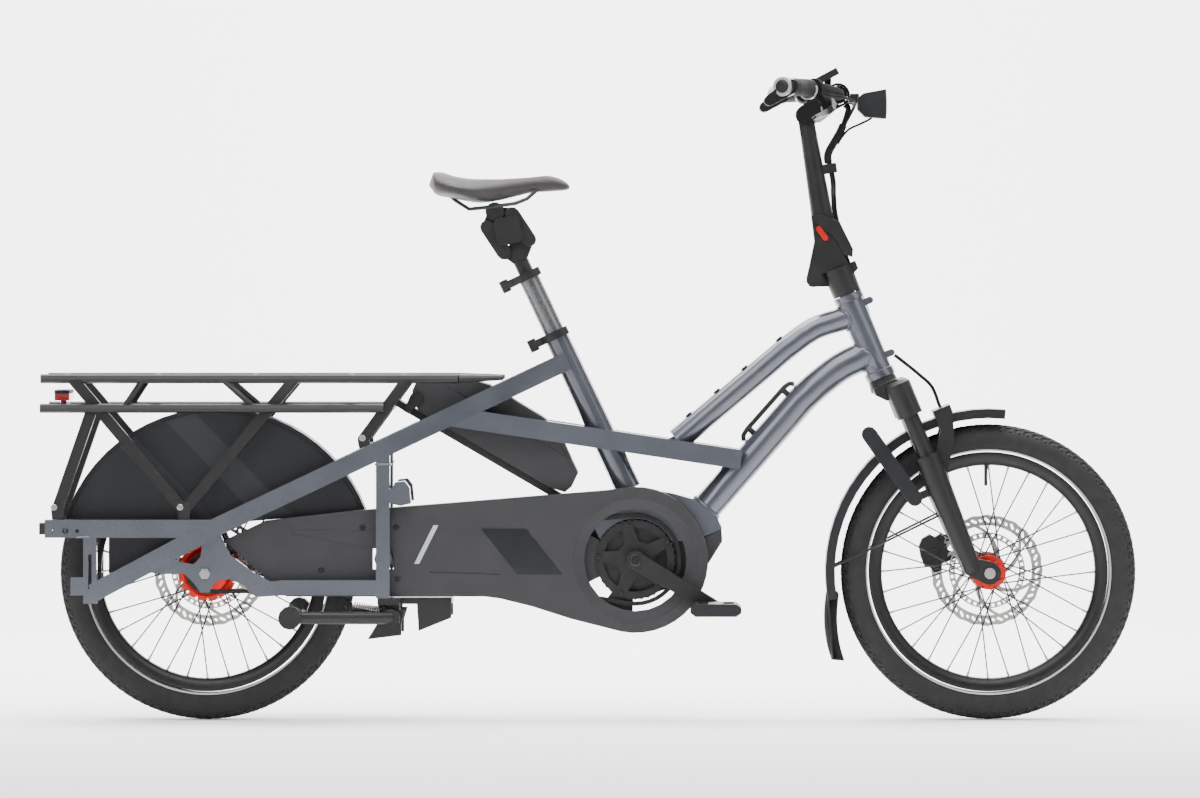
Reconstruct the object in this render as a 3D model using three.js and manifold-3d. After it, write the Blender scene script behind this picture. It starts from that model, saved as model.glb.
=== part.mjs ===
// Longtail cargo bike, drawn in millimetres.
// X runs forward from the rear axle, Z up from the ground, and the right (chain) side is at -Y.
import * as THREE from "three";
import { mergeVertices } from "three/addons/utils/BufferGeometryUtils.js";
import Module from "manifold-3d";

const wasm = await Module();
wasm.setup();

// Clearances
const gap = 0.3;
const overrun = 3;
const runningGap = 1;

// Facet counts
const wheelSteps = 32;
const frameSides = 12;
const tubeSides = 10;
const rodSides = 8;
const thinSides = 6;

// Main layout
const wheelbase = 1365;
const headLeanDeg = 22.2;
const forkRake = 44.8;
const forkLength = 385;
const headTubeLength = 156.6;
const bottomBracketX = 748;
const bottomBracketZ = 281;
const seatLeanDeg = 25.27;
const postLeanDeg = 12.7;
const chainlineY = 50;

// Wheels
const tyre = { radius: 258, width: 55 };
const rim = { radius: 209, innerRadius: 186, width: 30, bedWidth: 16 };
const spoke = { radius: 1.2, sides: 3, pairCount: 14 };
const axleRadius = 6;
const frontAxleRadius = 7.5;
const hubBoreRadius = runningRadius(axleRadius);
const frontHub = { flangeRadius: 30, flangeY: 33, flangeWidth: 4, bodyRadius: 17, halfWidth: 52,
  leadCount: 2 };
const rearHub = { flangeRadius: 53, flangeY: 24, flangeWidth: 5, bodyRadius: 47, halfWidth: 42,
  leadCount: 1 };
const sprocket = { pitchRadius: 32.4, teethCount: 16, width: 3, neckRadius: 19 };
const disc = { radius: 98, bandWidth: 17, width: 2, y: 44, armCount: 6, armWidth: 7, hubRadius: 26,
  leanShare: 0.3 };
const sensorRing = { radius: 64, bandWidth: 8 };

// Frame tubes
const headTube = { radius: 24, cupRadius: 26.5, cupHeight: 13, steererRadius: 14.3 };
const topTube = { radius: 21, drop: 40, bendBack: 70, bendDrop: 19, kneeBack: 107, kneeDrop: 45 };
const topTubeFoot = { forward: 73, up: 207 };
const downTube = { radius: 26.5, rise: 45, browBack: 48, browDrop: 18, kneeBack: 106, kneeDrop: 63 };
const downTubeFoot = { forward: 126, up: 91 };
const seatTube = { radius: 21, footRadius: 23, wall: 2.5, length: 295.2, footBack: 12, footUp: 121,
  slot: 26 };
const stay = { height: 32, width: 24, tailX: -195, tailZ: 224, axleX: 28, axleZ: 343 };
const stayRise = { kneeX: 166, kneeZ: 408, straightX: 330, neckX: 535, neckSpread: 58, topDrop: 46,
  topSpread: 20 };
const midBeam = { height: 34, width: 22, startX: 426, startSpread: 69.9, waistX: 632, waistSpread: 53 };
const midBeamEndOn = { seatSpread: 38, endSpread: 36, reachShare: 0.677 };
const tailBeam = { height: 31.5, startX: -278, endX: 20, z: 336.3 };
const tailHoles = { x: -241.8, apart: 20.4, radius: 5.8, smallRadius: 3.5, z: 332.4 };
const bumper = { inset: 5.75, thickness: 9.5 };
const stop = { z: 376, width: 37, height: 43 };
const nut = { width: 6, radius: 10 };
const eyeletLug = { reach: 33, highZ: 133, lowZ: 34, radius: 6, half: 5 };
const tailPost = { x: -211, width: 23, foot: 206, slotWidth: 6, slotLow: 232, slotHigh: 292 };
const footPlate = { back: 22, low: 220.4, high: 252, width: 5 };
const upright = { x: 297.4, width: 24, foot: 215.4 };
const chainstay = { startX: 130, low: 220.4, high: 247 };
const dropout = { thickness: 8, length: 158, rise: 55, bossRadius: 20 };
const yoke = { spread: 24, width: 22, height: 34, z: 283, kneeX: 560, endBack: 58, endUp: 100,
  crossRadius: 16 };
const shell = { halfWidth: 39 };

// Drive
const crank = { length: 162, angleDeg: -30.5, rootWidth: 32, tipWidth: 24, thickness: 14 };
const crankRootY = 70;
const spindle = { radius: 11, bossRadius: 17 };
const chainring = { pitchRadius: 76.9, teethCount: 38, width: 3, bandWidth: 11, armCount: 5, armWidth: 17,
  turnShare: 0.43 };
const spiderBolt = { circle: 64, radius: 5, height: 2.5 };
const chain = { halfHeight: 4, halfWidth: 4 };
const chainGuide = { x: 600, z: 228, radius: 9 };
const pedal = { length: 88, width: 96, height: 22, rail: 13, axleRadius: 6.5, gap: 4 };
const motor = { radius: 70, rightY: 38, leftY: 42, bossRadius: 30, bossRight: 2, bossLeft: 6 };

// Chain case
const caseShell = { radius: 127, outerY: 68, innerY: 42, wall: 2.5, windowRadius: 89, bevelRadius: 108,
  bevelDepth: 6 };
const caseRear = { topX: 105, topZ: 350, noseX: 31.5, noseZ: 315, lowX: 103, lowZ: 251, openX: 141 };
const caseTop = { kneeX: 269, kneeZ: 367.7, frontX: 700, frontZ: 402.5 };
const caseFloor = { rearX: 140, frontX: 486, z: 217.5, midX: 514, midZ: 213.6, bayX: 570, bayZ: 199.7,
  neckX: 635, neckZ: 178.9 };
const caseArc = { fromDeg: -101, toDeg: 92, slotClearance: 2 };
const casePane = { x: 479, z: 336, width: 79.5, lean: 63, height: 80, depth: 0.8 };
const caseGroove = { x: 150, z: 331, length: 150, spread: 34, slashX: 397, slashZ: 342, width: 9, depth: 1 };

// Battery
const battery = { length: 351, height: 102, halfWidth: 41, grooveShare: 0.6, grooveDepth: 1.2 };
const cradle = { startX: 320, startZ: 561, endX: 655, endZ: 366, thickness: 12, halfWidth: 34, earX: 36,
  earHeight: 24 };

// Rack and rear lamp
const rack = { tube: 8, crossRadius: 7, topZ: 596.7, topSpread: 80, lowZ: 545.6, tailX: -286,
  lowEndX: 310.5 };
const rackFront = { straightX: 440, tipX: 518, tipSpread: 62, tipZ: 598 };
const strut = { height: 19, width: 14 };
const rackFoot = { radius: 10, width: 9, lift: 22 };
const rearStrut = { footX: -255.5, topX: -196 };
const middleFoot = { x: -36.3, half: 5, rearTopX: -230, frontTopX: 155.5 };
const frontStrut = { footX: 275.2, topX: 351.6 };
const brace = { topXs: [-107.7, 29.2], runs: [-33.7, 58.5], radius: 5.5 };
const crossTubeXs = { first: -250, second: -90, third: 80, fourth: 250, fifth: 340 };
const tailLamp = { x: -265, width: 26, barX: -252, z: 558, height: 13, depth: 84, stalk: 10 };

// Guards
const guard = { forward: 17, up: 9, radius: 278, wall: 3, halfWidth: 34, lip: 14, fromDeg: 21, toDeg: 163.5 };
const sidePlate = { radius: 269.5, thickness: 2.5, tabX: -171, tabWidth: 90, tabZ: 256 };
const frontGuard = { radius: 285, wall: 3, halfWidth: 33, lip: 16, fromDeg: 84, toDeg: 190 };
const guardStay = { deg: 178.7, z: 258, wire: 2 };
const flap = { length: 104, width: 52, thickness: 3, leanDeg: 4 };

// Fork, in the frame of the steering axis
const crown = { low: 40, socketLow: 79, socketTop: 20, socketRadius: 23, front: 40, back: 22, raceRadius: 27,
  raceHeight: 10 };
const legs = { offset: 20, spread: 65, stanchionRadius: 15, stanchionEnd: 250, radius: 22, waist: 200,
  footRadius: 15.5 };
const lowers = { top: 154, bottom: 372, boreEnd: 310, dropoutInnerY: 55, dropoutWidth: 20, eyeRadius: 20,
  collar: 8, rim: 1.5 };
const arch = { bottom: 205, front: 92, back: 60, thickness: 12, innerY: 37, foot: 46 };
const forkUnit = { topX: -58, topZ: -82, lowX: -27, lowZ: -215, radius: 13.5, width: 20 };
const caliper = { length: 52, height: 66, halfWidth: 14, slot: 5, frontZ: 354 };

// Handlepost, in the frame of the steering axis
const base = { low: 1, height: 49, footRadius: 25, topRadius: 27 };
const catchLug = { reach: 8, half: 9 };
const foldPin = { x: -46, z: 202, radius: 5, lobe: 12, lugHalf: 9, earHalf: 19 };
const post = { offset: 34, tubeLow: 112, tubeTop: 268, lowRadius: 19, topRadius: 14, shoulder: 58 };
const latch = { pinX: 25, pinZ: 105, eye: 7, kneeZ: 72, tipX: 74, tipZ: 36, width: 12, browX: 62, browZ: 94,
  thickness: 4 };
const button = { lowX: 33, lowZ: 70, topX: 24, topZ: 88, radius: 5, rise: 4, depth: 5, travel: 3 };
const cableClip = { z: 180, length: 17, reach: 20, width: 16 };

// Stem and bar, in the frame of the bar's middle
const stem = { pinZ: 288, barX: 96, barZ: 313, eye: 14, lugHalf: 12, radius: 21, barRadius: 15.9,
  halfWidth: 22 };
const stemTiltDeg = 10;
const bar = { radius: 11, clampHalf: 24, bendY: 70, sweep: 103, rise: 8, endY: 330 };
const grip = { radius: 15.5, length: 128, wing: 38, wingDrop: 24, wingThickness: 9 };
const lever = { y: 182, clampWidth: 14, clampRadius: 17, reach: 118, pivotX: 24, pivotZ: 20, bodyRadius: 9,
  pin: 2.5 };
const leverBlade = { cheek: 3, hub: 6.5, kneeX: 18, kneeDrop: 11.5, kneeRadius: 5, drop: 30, halfWidth: 4.5,
  tip: 3 };
const display = { x: -17, y: 12, z: 27, length: 44, width: 66, thickness: 12, tiltDeg: -28 };
const headlight = { x: 34, z: -16, length: 50, height: 52, halfWidth: 32, armHalf: 12, noseShare: 0.86 };

// Seat, in the frame of the seat tube's top
const sleeve = { outer: 18, top: 118, low: -150 };
const clampRing = { radius: 24, height: 14, earReach: 35, bolt: 4 };
const clampLever = { hubRadius: 8, innerRadius: 25.5, thickness: 6, overhang: 4, tipDeg: 318 };
const seatPost = { radius: 13.5, top: 150, low: -60 };
const link = { rearX: -20, rearZ: 172, baseX: 49, baseZ: 2, riseX: -7.6, riseZ: 53, radius: 12.5, bore: 4.2 };
const linkPlate = { innerY: 15.5, thickness: 8 };
const headBlock = { clampX: -4, clampZ: 244, clampRadius: 16.5, clampHalf: 23.4 };
const cover = { x: 3.4, z: 204, half: 24, turnDeg: -12, thickness: 4, stem: 4, stemX: -2, stemZ: 190 };
const rail = { radius: 3.5, spread: 22, drop: 20 };
const saddle = { length: 256, rearX: 384, width: 150, baseZ: 902, height: 59, crown: 14, ringSides: 22,
  rings: 22 };

// Kickstand
const stand = { pivotX: 323, pivotZ: 181, pinRadius: 8, legRadius: 11, footX: 152, footZ: 185.5,
  footRadius: 20 };
const standSpread = { pivot: 92, foot: 165, footWidth: 34, pinHalf: 84 };
const bracket = { startX: 300, endX: 428, thickness: 11, halfWidth: 92, cheekY: 62, cheek: 9, reach: 18,
  toeZ: 143 };
const shieldPlate = { x: 367.5, length: 60, rearZ: 157, frontZ: 180 };
const spring = { coil: 5.3, wire: 1, curlCount: 11, curlSteps: 8, wireSides: 5, y: 78 };
const springHook = { rearX: 257, rearZ: 205, frontX: 306, frontZ: 196, radius: 5 };

// Cables
const cable = { radius: 6, hoseRadius: 3 };
const bundle = { startDeg: -65, hang: 62, bulge: 10, bulgeZ: 100,
  sideY: 34, entryDeg: 62, entryZ: 105 };
const hose = { bulge: 26 };

// Materials
const looks = {
  paint: look(0x565b66, 0.35, 0.6),
  black: look(0x2f2f31, 0.5, 0.3),
  plastic: look(0x454546, 0.7, 0),
  rubber: look(0x343434, 0.9, 0),
  steel: look(0xb4b6b8, 0.3, 1),
  red: look(0xc8281f, 0.3, 0.8),
  chrome: look(0x8a8a8c, 0.15, 1),
  covering: look(0x4b4845, 0.75, 0),
  lens: look(0xb01818, 0.2, 0),
};

function look(color, roughness, metalness) {
  return new THREE.MeshStandardMaterial({ color, roughness, metalness });
}

// A round bore of this radius lets a faceted pin of the given radius turn in it.
function runningRadius(pinRadius) {
  return (pinRadius + gap) / Math.cos(Math.PI / tubeSides);
}

// A bore of this radius clears a like-faceted tube that only slides in it.
function slidingRadius(tubeRadius) {
  return tubeRadius + gap / Math.cos(Math.PI / tubeSides);
}

// Small vector helpers

function vec(x, y, z) {
  return new THREE.Vector3(x, y, z);
}

function radians(degrees) {
  return THREE.MathUtils.degToRad(degrees);
}

function upAlong(leanDeg) {
  return vec(-Math.sin(radians(leanDeg)), 0, Math.cos(radians(leanDeg)));
}

function forwardAlong(leanDeg) {
  return vec(Math.cos(radians(leanDeg)), 0, Math.sin(radians(leanDeg)));
}

function along(start, direction, distance) {
  return start.clone().addScaledVector(direction, distance);
}

function between(a, b, share) {
  return a.clone().lerp(b, share);
}

// A closed geometry becomes a solid once its shared corners are merged and its faces point out.
function solid(geometry) {
  const bare = new THREE.BufferGeometry();
  bare.setAttribute("position", geometry.getAttribute("position").clone());
  if (geometry.getIndex()) bare.setIndex(geometry.getIndex().clone());
  const merged = mergeVertices(bare);
  const corners = merged.getAttribute("position");
  const index = merged.getIndex().array;
  const faces = [];
  let volume = 0;
  for (let i = 0; i < index.length; i += 3) {
    const [a, b, c] = [index[i], index[i + 1], index[i + 2]];
    if (a === b || b === c || c === a) continue;
    faces.push(a, b, c);
    const [p, q, r] = [a, b, c].map((k) => vec().fromBufferAttribute(corners, k));
    volume += p.dot(q.cross(r));
  }
  const triVerts = Uint32Array.from(volume < 0 ? faces.reverse() : faces);
  const vertProperties = Float32Array.from(corners.array);
  return new wasm.Manifold(new wasm.Mesh({ numProp: 3, vertProperties, triVerts }));
}

function geometryOf(body) {
  const mesh = body.getMesh();
  const geometry = new THREE.BufferGeometry();
  geometry.setAttribute("position", new THREE.BufferAttribute(mesh.vertProperties, 3));
  geometry.setIndex(new THREE.BufferAttribute(mesh.triVerts, 1));
  geometry.computeVertexNormals();
  return geometry;
}

function moved(body, matrix) {
  const geometry = geometryOf(body);
  geometry.applyMatrix4(matrix);
  return solid(geometry);
}

function shifted(body, x, y, z) {
  return moved(body, new THREE.Matrix4().makeTranslation(x, y, z));
}

function turned(body, degrees, x = 0, z = 0) {
  const matrix = new THREE.Matrix4().makeTranslation(x, 0, z);
  matrix.multiply(new THREE.Matrix4().makeRotationY(radians(-degrees)));
  matrix.multiply(new THREE.Matrix4().makeTranslation(-x, 0, -z));
  return moved(body, matrix);
}

function mirrored(body) {
  return moved(body, new THREE.Matrix4().makeScale(1, -1, 1));
}

function joined(...bodies) {
  return bodies.flat().reduce((sum, body) => sum.add(body));
}

function cut(body, ...tools) {
  return tools.flat().reduce((rest, tool) => rest.subtract(tool), body);
}

function bothSides(body) {
  return joined(body, mirrored(body));
}

// Basic solids

function box(x0, x1, y0, y1, z0, z1) {
  const geometry = new THREE.BoxGeometry(x1 - x0, y1 - y0, z1 - z0);
  geometry.translate((x0 + x1) / 2, (y0 + y1) / 2, (z0 + z1) / 2);
  return solid(geometry);
}

// Flat outline in X and Z, made solid from y0 to y1
function slab(outline, y0, y1) {
  const shape = new THREE.Shape(outline.map(([x, z]) => new THREE.Vector2(x, z)));
  const geometry = new THREE.ExtrudeGeometry(shape, { depth: y1 - y0, bevelEnabled: false });
  geometry.rotateX(Math.PI / 2);
  geometry.translate(0, y1, 0);
  return solid(geometry);
}

function rod(from, to, radius, endRadius = radius, sides = tubeSides) {
  const length = from.distanceTo(to);
  const corners = arc(0, 0, radius, 0, 360 - 360 / sides, sides - 1).map(([x, y]) => new THREE.Vector2(x, y));
  const geometry = new THREE.ExtrudeGeometry(new THREE.Shape(corners), { depth: length,
    bevelEnabled: false });
  const position = geometry.getAttribute("position");
  for (let i = 0; i < position.count; i += 1) {
    const widening = position.getZ(i) > length / 2 ? endRadius / radius : 1;
    position.setXY(i, position.getX(i) * widening, position.getY(i) * widening);
  }
  const turn = new THREE.Quaternion();
  turn.setFromUnitVectors(vec(0, 0, 1), to.clone().sub(from).normalize());
  geometry.applyQuaternion(turn);
  geometry.translate(from.x, from.y, from.z);
  return solid(geometry);
}

// Round piece across the bike
function crossRod(x, z, y0, y1, radius, sides = tubeSides) {
  return rod(vec(x, y0, z), vec(x, y1, z), radius, radius, sides);
}

// Profile points are radius and distance along Y; the profile closes on itself.
function ringAboutY(profile, steps) {
  const points = [...profile, profile[0]].map(([r, y]) => new THREE.Vector2(r, y));
  return solid(new THREE.LatheGeometry(points, steps));
}

// Profile points are radius and height along Z.
function ringAboutZ(profile, steps) {
  const points = [...profile, profile[0]].map(([r, z]) => new THREE.Vector2(r, z));
  const geometry = new THREE.LatheGeometry(points, steps);
  geometry.rotateX(Math.PI / 2);
  return solid(geometry);
}

// Round tube along a smooth curve through the points
function sweep(points, radius, sides, steps, closed = false) {
  const corners = [];
  for (let i = 0; i < sides; i += 1) {
    const angle = (2 * Math.PI * i) / sides;
    corners.push(new THREE.Vector2(radius * Math.cos(angle), radius * Math.sin(angle)));
  }
  const path = new THREE.CatmullRomCurve3(points, closed, "centripetal");
  const options = { steps, bevelEnabled: false, extrudePath: path };
  return solid(new THREE.ExtrudeGeometry(new THREE.Shape(corners), options));
}

// Path whose steps fall on the listed points
class PointPath extends THREE.Curve {
  constructor(points) {
    super();
    this.points = points;
  }

  getPointAt(share) {
    return this.points[Math.round(share * (this.points.length - 1))].clone();
  }

  getTangentAt(share) {
    const last = this.points.length - 1;
    const i = Math.round(share * last);
    const [here, before, after] = [this.points[i], this.points[Math.max(i - 1, 0)],
      this.points[Math.min(i + 1, last)]];
    const inward = here.clone().sub(before).normalize();
    return inward.add(after.clone().sub(here).normalize()).normalize();
  }
}

// Round tube with one ring at each point
function tube(points, radius, sides = tubeSides) {
  const corners = arc(0, 0, radius, 0, 360 - 360 / sides, sides - 1).map(([x, y]) => new THREE.Vector2(x, y));
  const options = { steps: points.length - 1, bevelEnabled: false, extrudePath: new PointPath(points) };
  return solid(new THREE.ExtrudeGeometry(new THREE.Shape(corners), options));
}

// Corner points of a bent tube, each inner corner rounded over the given reach
function rounded(points, reach, steps = 3) {
  const line = [points[0]];
  for (let i = 1; i < points.length - 1; i += 1) {
    const [before, corner, after] = [points[i - 1], points[i], points[i + 1]];
    const start = between(corner, before, Math.min(reach / corner.distanceTo(before), 0.45));
    const end = between(corner, after, Math.min(reach / corner.distanceTo(after), 0.45));
    line.push(...new THREE.QuadraticBezierCurve3(start, corner, end).getPoints(steps));
  }
  return [...line, points[points.length - 1]];
}

// Rectangular tube along a bent line: the height lies in the side view and the width along Y.
function beam(stations, height, width) {
  const last = stations.length - 1;
  const geometry = new THREE.BoxGeometry(1, 1, 1, last, 1, 1);
  const position = geometry.getAttribute("position");
  for (let i = 0; i < position.count; i += 1) {
    const step = Math.round((position.getX(i) + 0.5) * last);
    const centre = stations[step];
    const before = stations[Math.max(step - 1, 0)];
    const after = stations[Math.min(step + 1, last)];
    const inward = vec(centre.x - before.x, 0, centre.z - before.z).normalize();
    const outward = vec(after.x - centre.x, 0, after.z - centre.z).normalize();
    const run = inward.clone().add(outward).normalize();
    const mitre = Math.max(run.dot(outward), run.dot(inward));
    const rise = (position.getZ(i) * height) / mitre;
    position.setXYZ(i, centre.x - run.z * rise, centre.y + position.getY(i) * width, centre.z + run.x * rise);
  }
  return solid(geometry);
}

// Outline helpers

function arc(x, z, radius, fromDeg, toDeg, steps) {
  const points = [];
  for (let i = 0; i <= steps; i += 1) {
    const angle = radians(fromDeg + ((toDeg - fromDeg) * i) / steps);
    points.push([x + radius * Math.cos(angle), z + radius * Math.sin(angle)]);
  }
  return points;
}

function band(x, z, outer, inner, fromDeg, toDeg, steps) {
  return [...arc(x, z, outer, fromDeg, toDeg, steps), ...arc(x, z, inner, toDeg, fromDeg, steps)];
}

// Shares of a width and a height, measured from a corner
function scaled(shares, x, z, width, height) {
  return shares.map(([u, v]) => [x + u * width, z + v * height]);
}

// Outline drawn in by a distance on every side; the outline runs counterclockwise
function inset(outline, distance) {
  const count = outline.length;
  return outline.map(([x, z], i) => {
    const [px, pz] = outline[(i + count - 1) % count];
    const [nx, nz] = outline[(i + 1) % count];
    const first = new THREE.Vector2(x - px, z - pz).normalize();
    const second = new THREE.Vector2(nx - x, nz - z).normalize();
    const normal = new THREE.Vector2(-first.y - second.y, first.x + second.x).normalize();
    const reach = distance / Math.max(normal.dot(new THREE.Vector2(-first.y, first.x)), 0.4);
    return [x + normal.x * reach, z + normal.y * reach];
  });
}

// Capsule outline from one centre to another
function capsule(x0, z0, r0, x1, z1, r1, steps = 5) {
  const heading = THREE.MathUtils.radToDeg(Math.atan2(z1 - z0, x1 - x0));
  return [
    ...arc(x0, z0, r0, heading + 90, heading + 270, steps),
    ...arc(x1, z1, r1, heading - 90, heading + 90, steps),
  ];
}

// Toothed outline about a centre
function toothed(x, z, tip, root, count) {
  const points = [];
  for (let i = 0; i < count; i += 1) {
    for (const [turnShare, radius] of [[0, root], [0.5, tip]]) {
      const angle = (2 * Math.PI * (i + turnShare)) / count;
      points.push([x + radius * Math.cos(angle), z + radius * Math.sin(angle)]);
    }
  }
  return points;
}

// Scene helpers

function piece(parent, name, material, body) {
  const mesh = new THREE.Mesh(geometryOf(body), looks[material].clone());
  mesh.name = name;
  parent.add(mesh);
}

function place(parent, x, y, z, turnDeg = 0) {
  const group = new THREE.Group();
  group.position.set(x, y, z);
  group.rotation.y = radians(turnDeg);
  parent.add(group);
  return group;
}

// Places in the bike's frame

const steerUp = upAlong(headLeanDeg);
const steerForward = forwardAlong(headLeanDeg);
const frontAxlePoint = vec(wheelbase, 0, tyre.radius);
const headFoot = along(along(frontAxlePoint, steerForward, -forkRake), steerUp, forkLength);
const headTop = along(headFoot, steerUp, headTubeLength);
const bottomBracket = vec(bottomBracketX, 0, bottomBracketZ);
const seatUp = upAlong(seatLeanDeg);
const seatFoot = vec(bottomBracketX - seatTube.footBack, 0, bottomBracketZ + seatTube.footUp);
const seatTop = along(seatFoot, seatUp, seatTube.length);
const steerMatrix = placement(headFoot, -headLeanDeg);
const seatMatrix = placement(seatTop, -seatLeanDeg);
const postMatrix = placement(vec(foldPin.x, 0, foldPin.z), postLeanDeg);
const seatInverse = seatMatrix.clone().invert();
const postInverse = postMatrix.clone().invert();
const frameSpread = caseShell.outerY + gap + stay.width / 2;
const frameOuter = frameSpread + stay.width / 2;
const bearingRadius = runningRadius(frontAxleRadius);

function placement(origin, turnDeg) {
  const matrix = new THREE.Matrix4().makeTranslation(origin.x, origin.y, origin.z);
  return matrix.multiply(new THREE.Matrix4().makeRotationY(radians(turnDeg)));
}

function offset(point, forward, up) {
  return vec(point.x + forward, point.y, point.z + up);
}

function heightOn(a, b, x) {
  return a.z + ((b.z - a.z) * (x - a.x)) / (b.x - a.x);
}

// Wheels

function tyreSolid() {
  const depth = tyre.radius - rim.radius - gap;
  const half = tyre.width / 2;
  const sideShares = [[1, 0.24], [0.87, 0.7], [0.45, 1], [0, 0.6]];
  const right = sideShares.map(([u, v]) => [tyre.radius - depth * (1 - u), -half * v]);
  const left = right.map(([r, y]) => [r, -y]).reverse();
  return ringAboutY([...right, ...left], wheelSteps);
}

function rimSolid() {
  const half = rim.width / 2;
  const bed = rim.bedWidth / 2;
  const right = [[rim.radius, -half], [rim.innerRadius, -bed]];
  const left = right.map(([r, y]) => [r, -y]).reverse();
  return ringAboutY([...right, ...left], wheelSteps);
}

function spokes(hub) {
  const count = spoke.pairCount * 2;
  const rimReach = rim.innerRadius * Math.cos(Math.PI / wheelSteps) - runningGap;
  const flangeReach = hub.flangeRadius - 2 * spoke.radius;
  const rods = [];
  for (let k = 0; k < count; k += 1) {
    const side = k % 2 === 0 ? -1 : 1;
    const way = k % 4 < 2 ? 1 : -1;
    const lead = (way * hub.leadCount * 360) / spoke.pairCount;
    const aside = way * spoke.radius * 1.6;
    const rimAngle = (2 * Math.PI * (k + 0.5)) / count;
    const hubAngle = rimAngle + radians(lead);
    const inner = vec(flangeReach * Math.cos(hubAngle), side * hub.flangeY + aside,
      flangeReach * Math.sin(hubAngle));
    const outer = vec(rimReach * Math.cos(rimAngle), (side * rim.bedWidth) / 4 + aside,
      rimReach * Math.sin(rimAngle));
    rods.push(rod(inner, outer, spoke.radius, spoke.radius, spoke.sides));
  }
  return rods;
}

function hubBody(hub) {
  const edge = hub.flangeY + hub.flangeWidth / 2;
  const inside = hub.flangeY - hub.flangeWidth / 2;
  const discSeat = disc.y + disc.width / 2 + 2 * gap;
  const neck = sprocket.neckRadius;
  const profile = [
    [0, -hub.halfWidth], [neck, -hub.halfWidth], [neck, -edge], [hub.flangeRadius, -edge],
    [hub.flangeRadius, -inside], [hub.bodyRadius, -inside + hub.flangeWidth],
    [hub.bodyRadius, inside - hub.flangeWidth], [hub.flangeRadius, inside], [hub.flangeRadius, edge],
    [neck, edge], [neck, discSeat], [0, discSeat],
  ];
  return ringAboutY(profile, spoke.pairCount);
}

function frontHubSolid() {
  const bore = crossRod(0, 0, -2 * frontHub.halfWidth, 2 * frontHub.halfWidth, bearingRadius);
  return joined(cut(hubBody(frontHub), bore), ...spokes(frontHub));
}

function rearHubSolid() {
  const tip = sprocket.pitchRadius - chain.halfHeight - runningGap;
  const outer = chainlineY + sprocket.width / 2;
  const teeth = slab(toothed(0, 0, tip, tip - chain.halfHeight, sprocket.teethCount), -outer,
    -outer + sprocket.width);
  const carrier = crossRod(0, 0, -outer, -rearHub.halfWidth + runningGap, sprocket.neckRadius);
  const bore = crossRod(0, 0, -outer - overrun, 2 * rearHub.halfWidth, hubBoreRadius);
  return joined(cut(joined(hubBody(rearHub), teeth, carrier), bore), ...spokes(rearHub));
}

// Brake disc with its sensor ring, cut through between the arms
function discSolid() {
  const [low, high] = [disc.y - disc.width / 2, disc.y + disc.width / 2];
  const bore = (sprocket.neckRadius + gap) / Math.cos(Math.PI / spoke.pairCount);
  const plate = crossRod(0, 0, low, high, disc.radius, 28);
  const step = 360 / disc.armCount;
  const windows = [];
  for (let k = 0; k < disc.armCount; k += 1) {
    windows.push(discWindow(disc.radius - disc.bandWidth, sensorRing.radius, k * step));
    windows.push(discWindow(sensorRing.radius - sensorRing.bandWidth, disc.hubRadius,
      (k + disc.leanShare) * step));
  }
  return cut(plate, crossRod(0, 0, low - overrun, high + overrun, bore, spoke.pairCount), ...windows);
}

function discWindow(outer, inner, fromDeg) {
  const step = 360 / disc.armCount;
  const armDeg = (radius) => THREE.MathUtils.radToDeg(disc.armWidth / radius);
  const outline = [
    ...arc(0, 0, outer, fromDeg, fromDeg + step - armDeg(outer), 3),
    ...arc(0, 0, inner, fromDeg + step * (1 - disc.leanShare) - armDeg(inner),
      fromDeg - step * disc.leanShare, 2),
  ];
  return slab(outline, disc.y - disc.width, disc.y + disc.width);
}

// Front frame: head tube, top tube, down tube, seat tube and motor shell

function headTubeSolid() {
  const top = headTubeLength;
  const profile = [
    [0, 0], [headTube.cupRadius, 0], [headTube.cupRadius, headTube.cupHeight],
    [headTube.radius, headTube.cupHeight + runningGap], [headTube.radius, top - headTube.cupHeight],
    [headTube.cupRadius, top - headTube.cupHeight + runningGap], [headTube.cupRadius, top], [0, top],
  ];
  return moved(ringAboutZ(profile, frameSides), steerMatrix);
}

function topTubeSolid() {
  const start = along(headTop, steerUp, -topTube.drop);
  const bend = offset(start, -topTube.bendBack, -topTube.bendDrop);
  const knee = offset(start, -topTube.kneeBack, -topTube.kneeDrop);
  const foot = offset(bottomBracket, topTubeFoot.forward, topTubeFoot.up);
  return tube(rounded([start, bend, knee, foot], topTube.radius), topTube.radius, frameSides);
}

function downTubePoints() {
  const start = along(headFoot, steerUp, downTube.rise);
  const brow = offset(start, -downTube.browBack, -downTube.browDrop);
  const knee = offset(start, -downTube.kneeBack, -downTube.kneeDrop);
  const foot = offset(bottomBracket, downTubeFoot.forward, downTubeFoot.up);
  return [start, brow, knee, foot];
}

function downTubeSolid(growth = 0) {
  return tube(rounded(downTubePoints(), downTube.radius), downTube.radius + growth, frameSides);
}

function seatTubeSolid(growth = 0) {
  return rod(seatFoot, seatTop, seatTube.footRadius + growth, seatTube.radius + growth, frameSides);
}

function seatTubeBore() {
  const low = along(seatTop, seatUp, sleeve.low * 1.75);
  return rod(low, along(seatTop, seatUp, clampRing.height + overrun), runningRadius(sleeve.outer));
}

// Top edge of the motor's nose, under the painted shell
const noseShares = { frontX: 2.15, frontZ: 0.74, backX: 1.59, backZ: 0.5, arcFromDeg: 25, arcToDeg: 150 };

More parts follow.
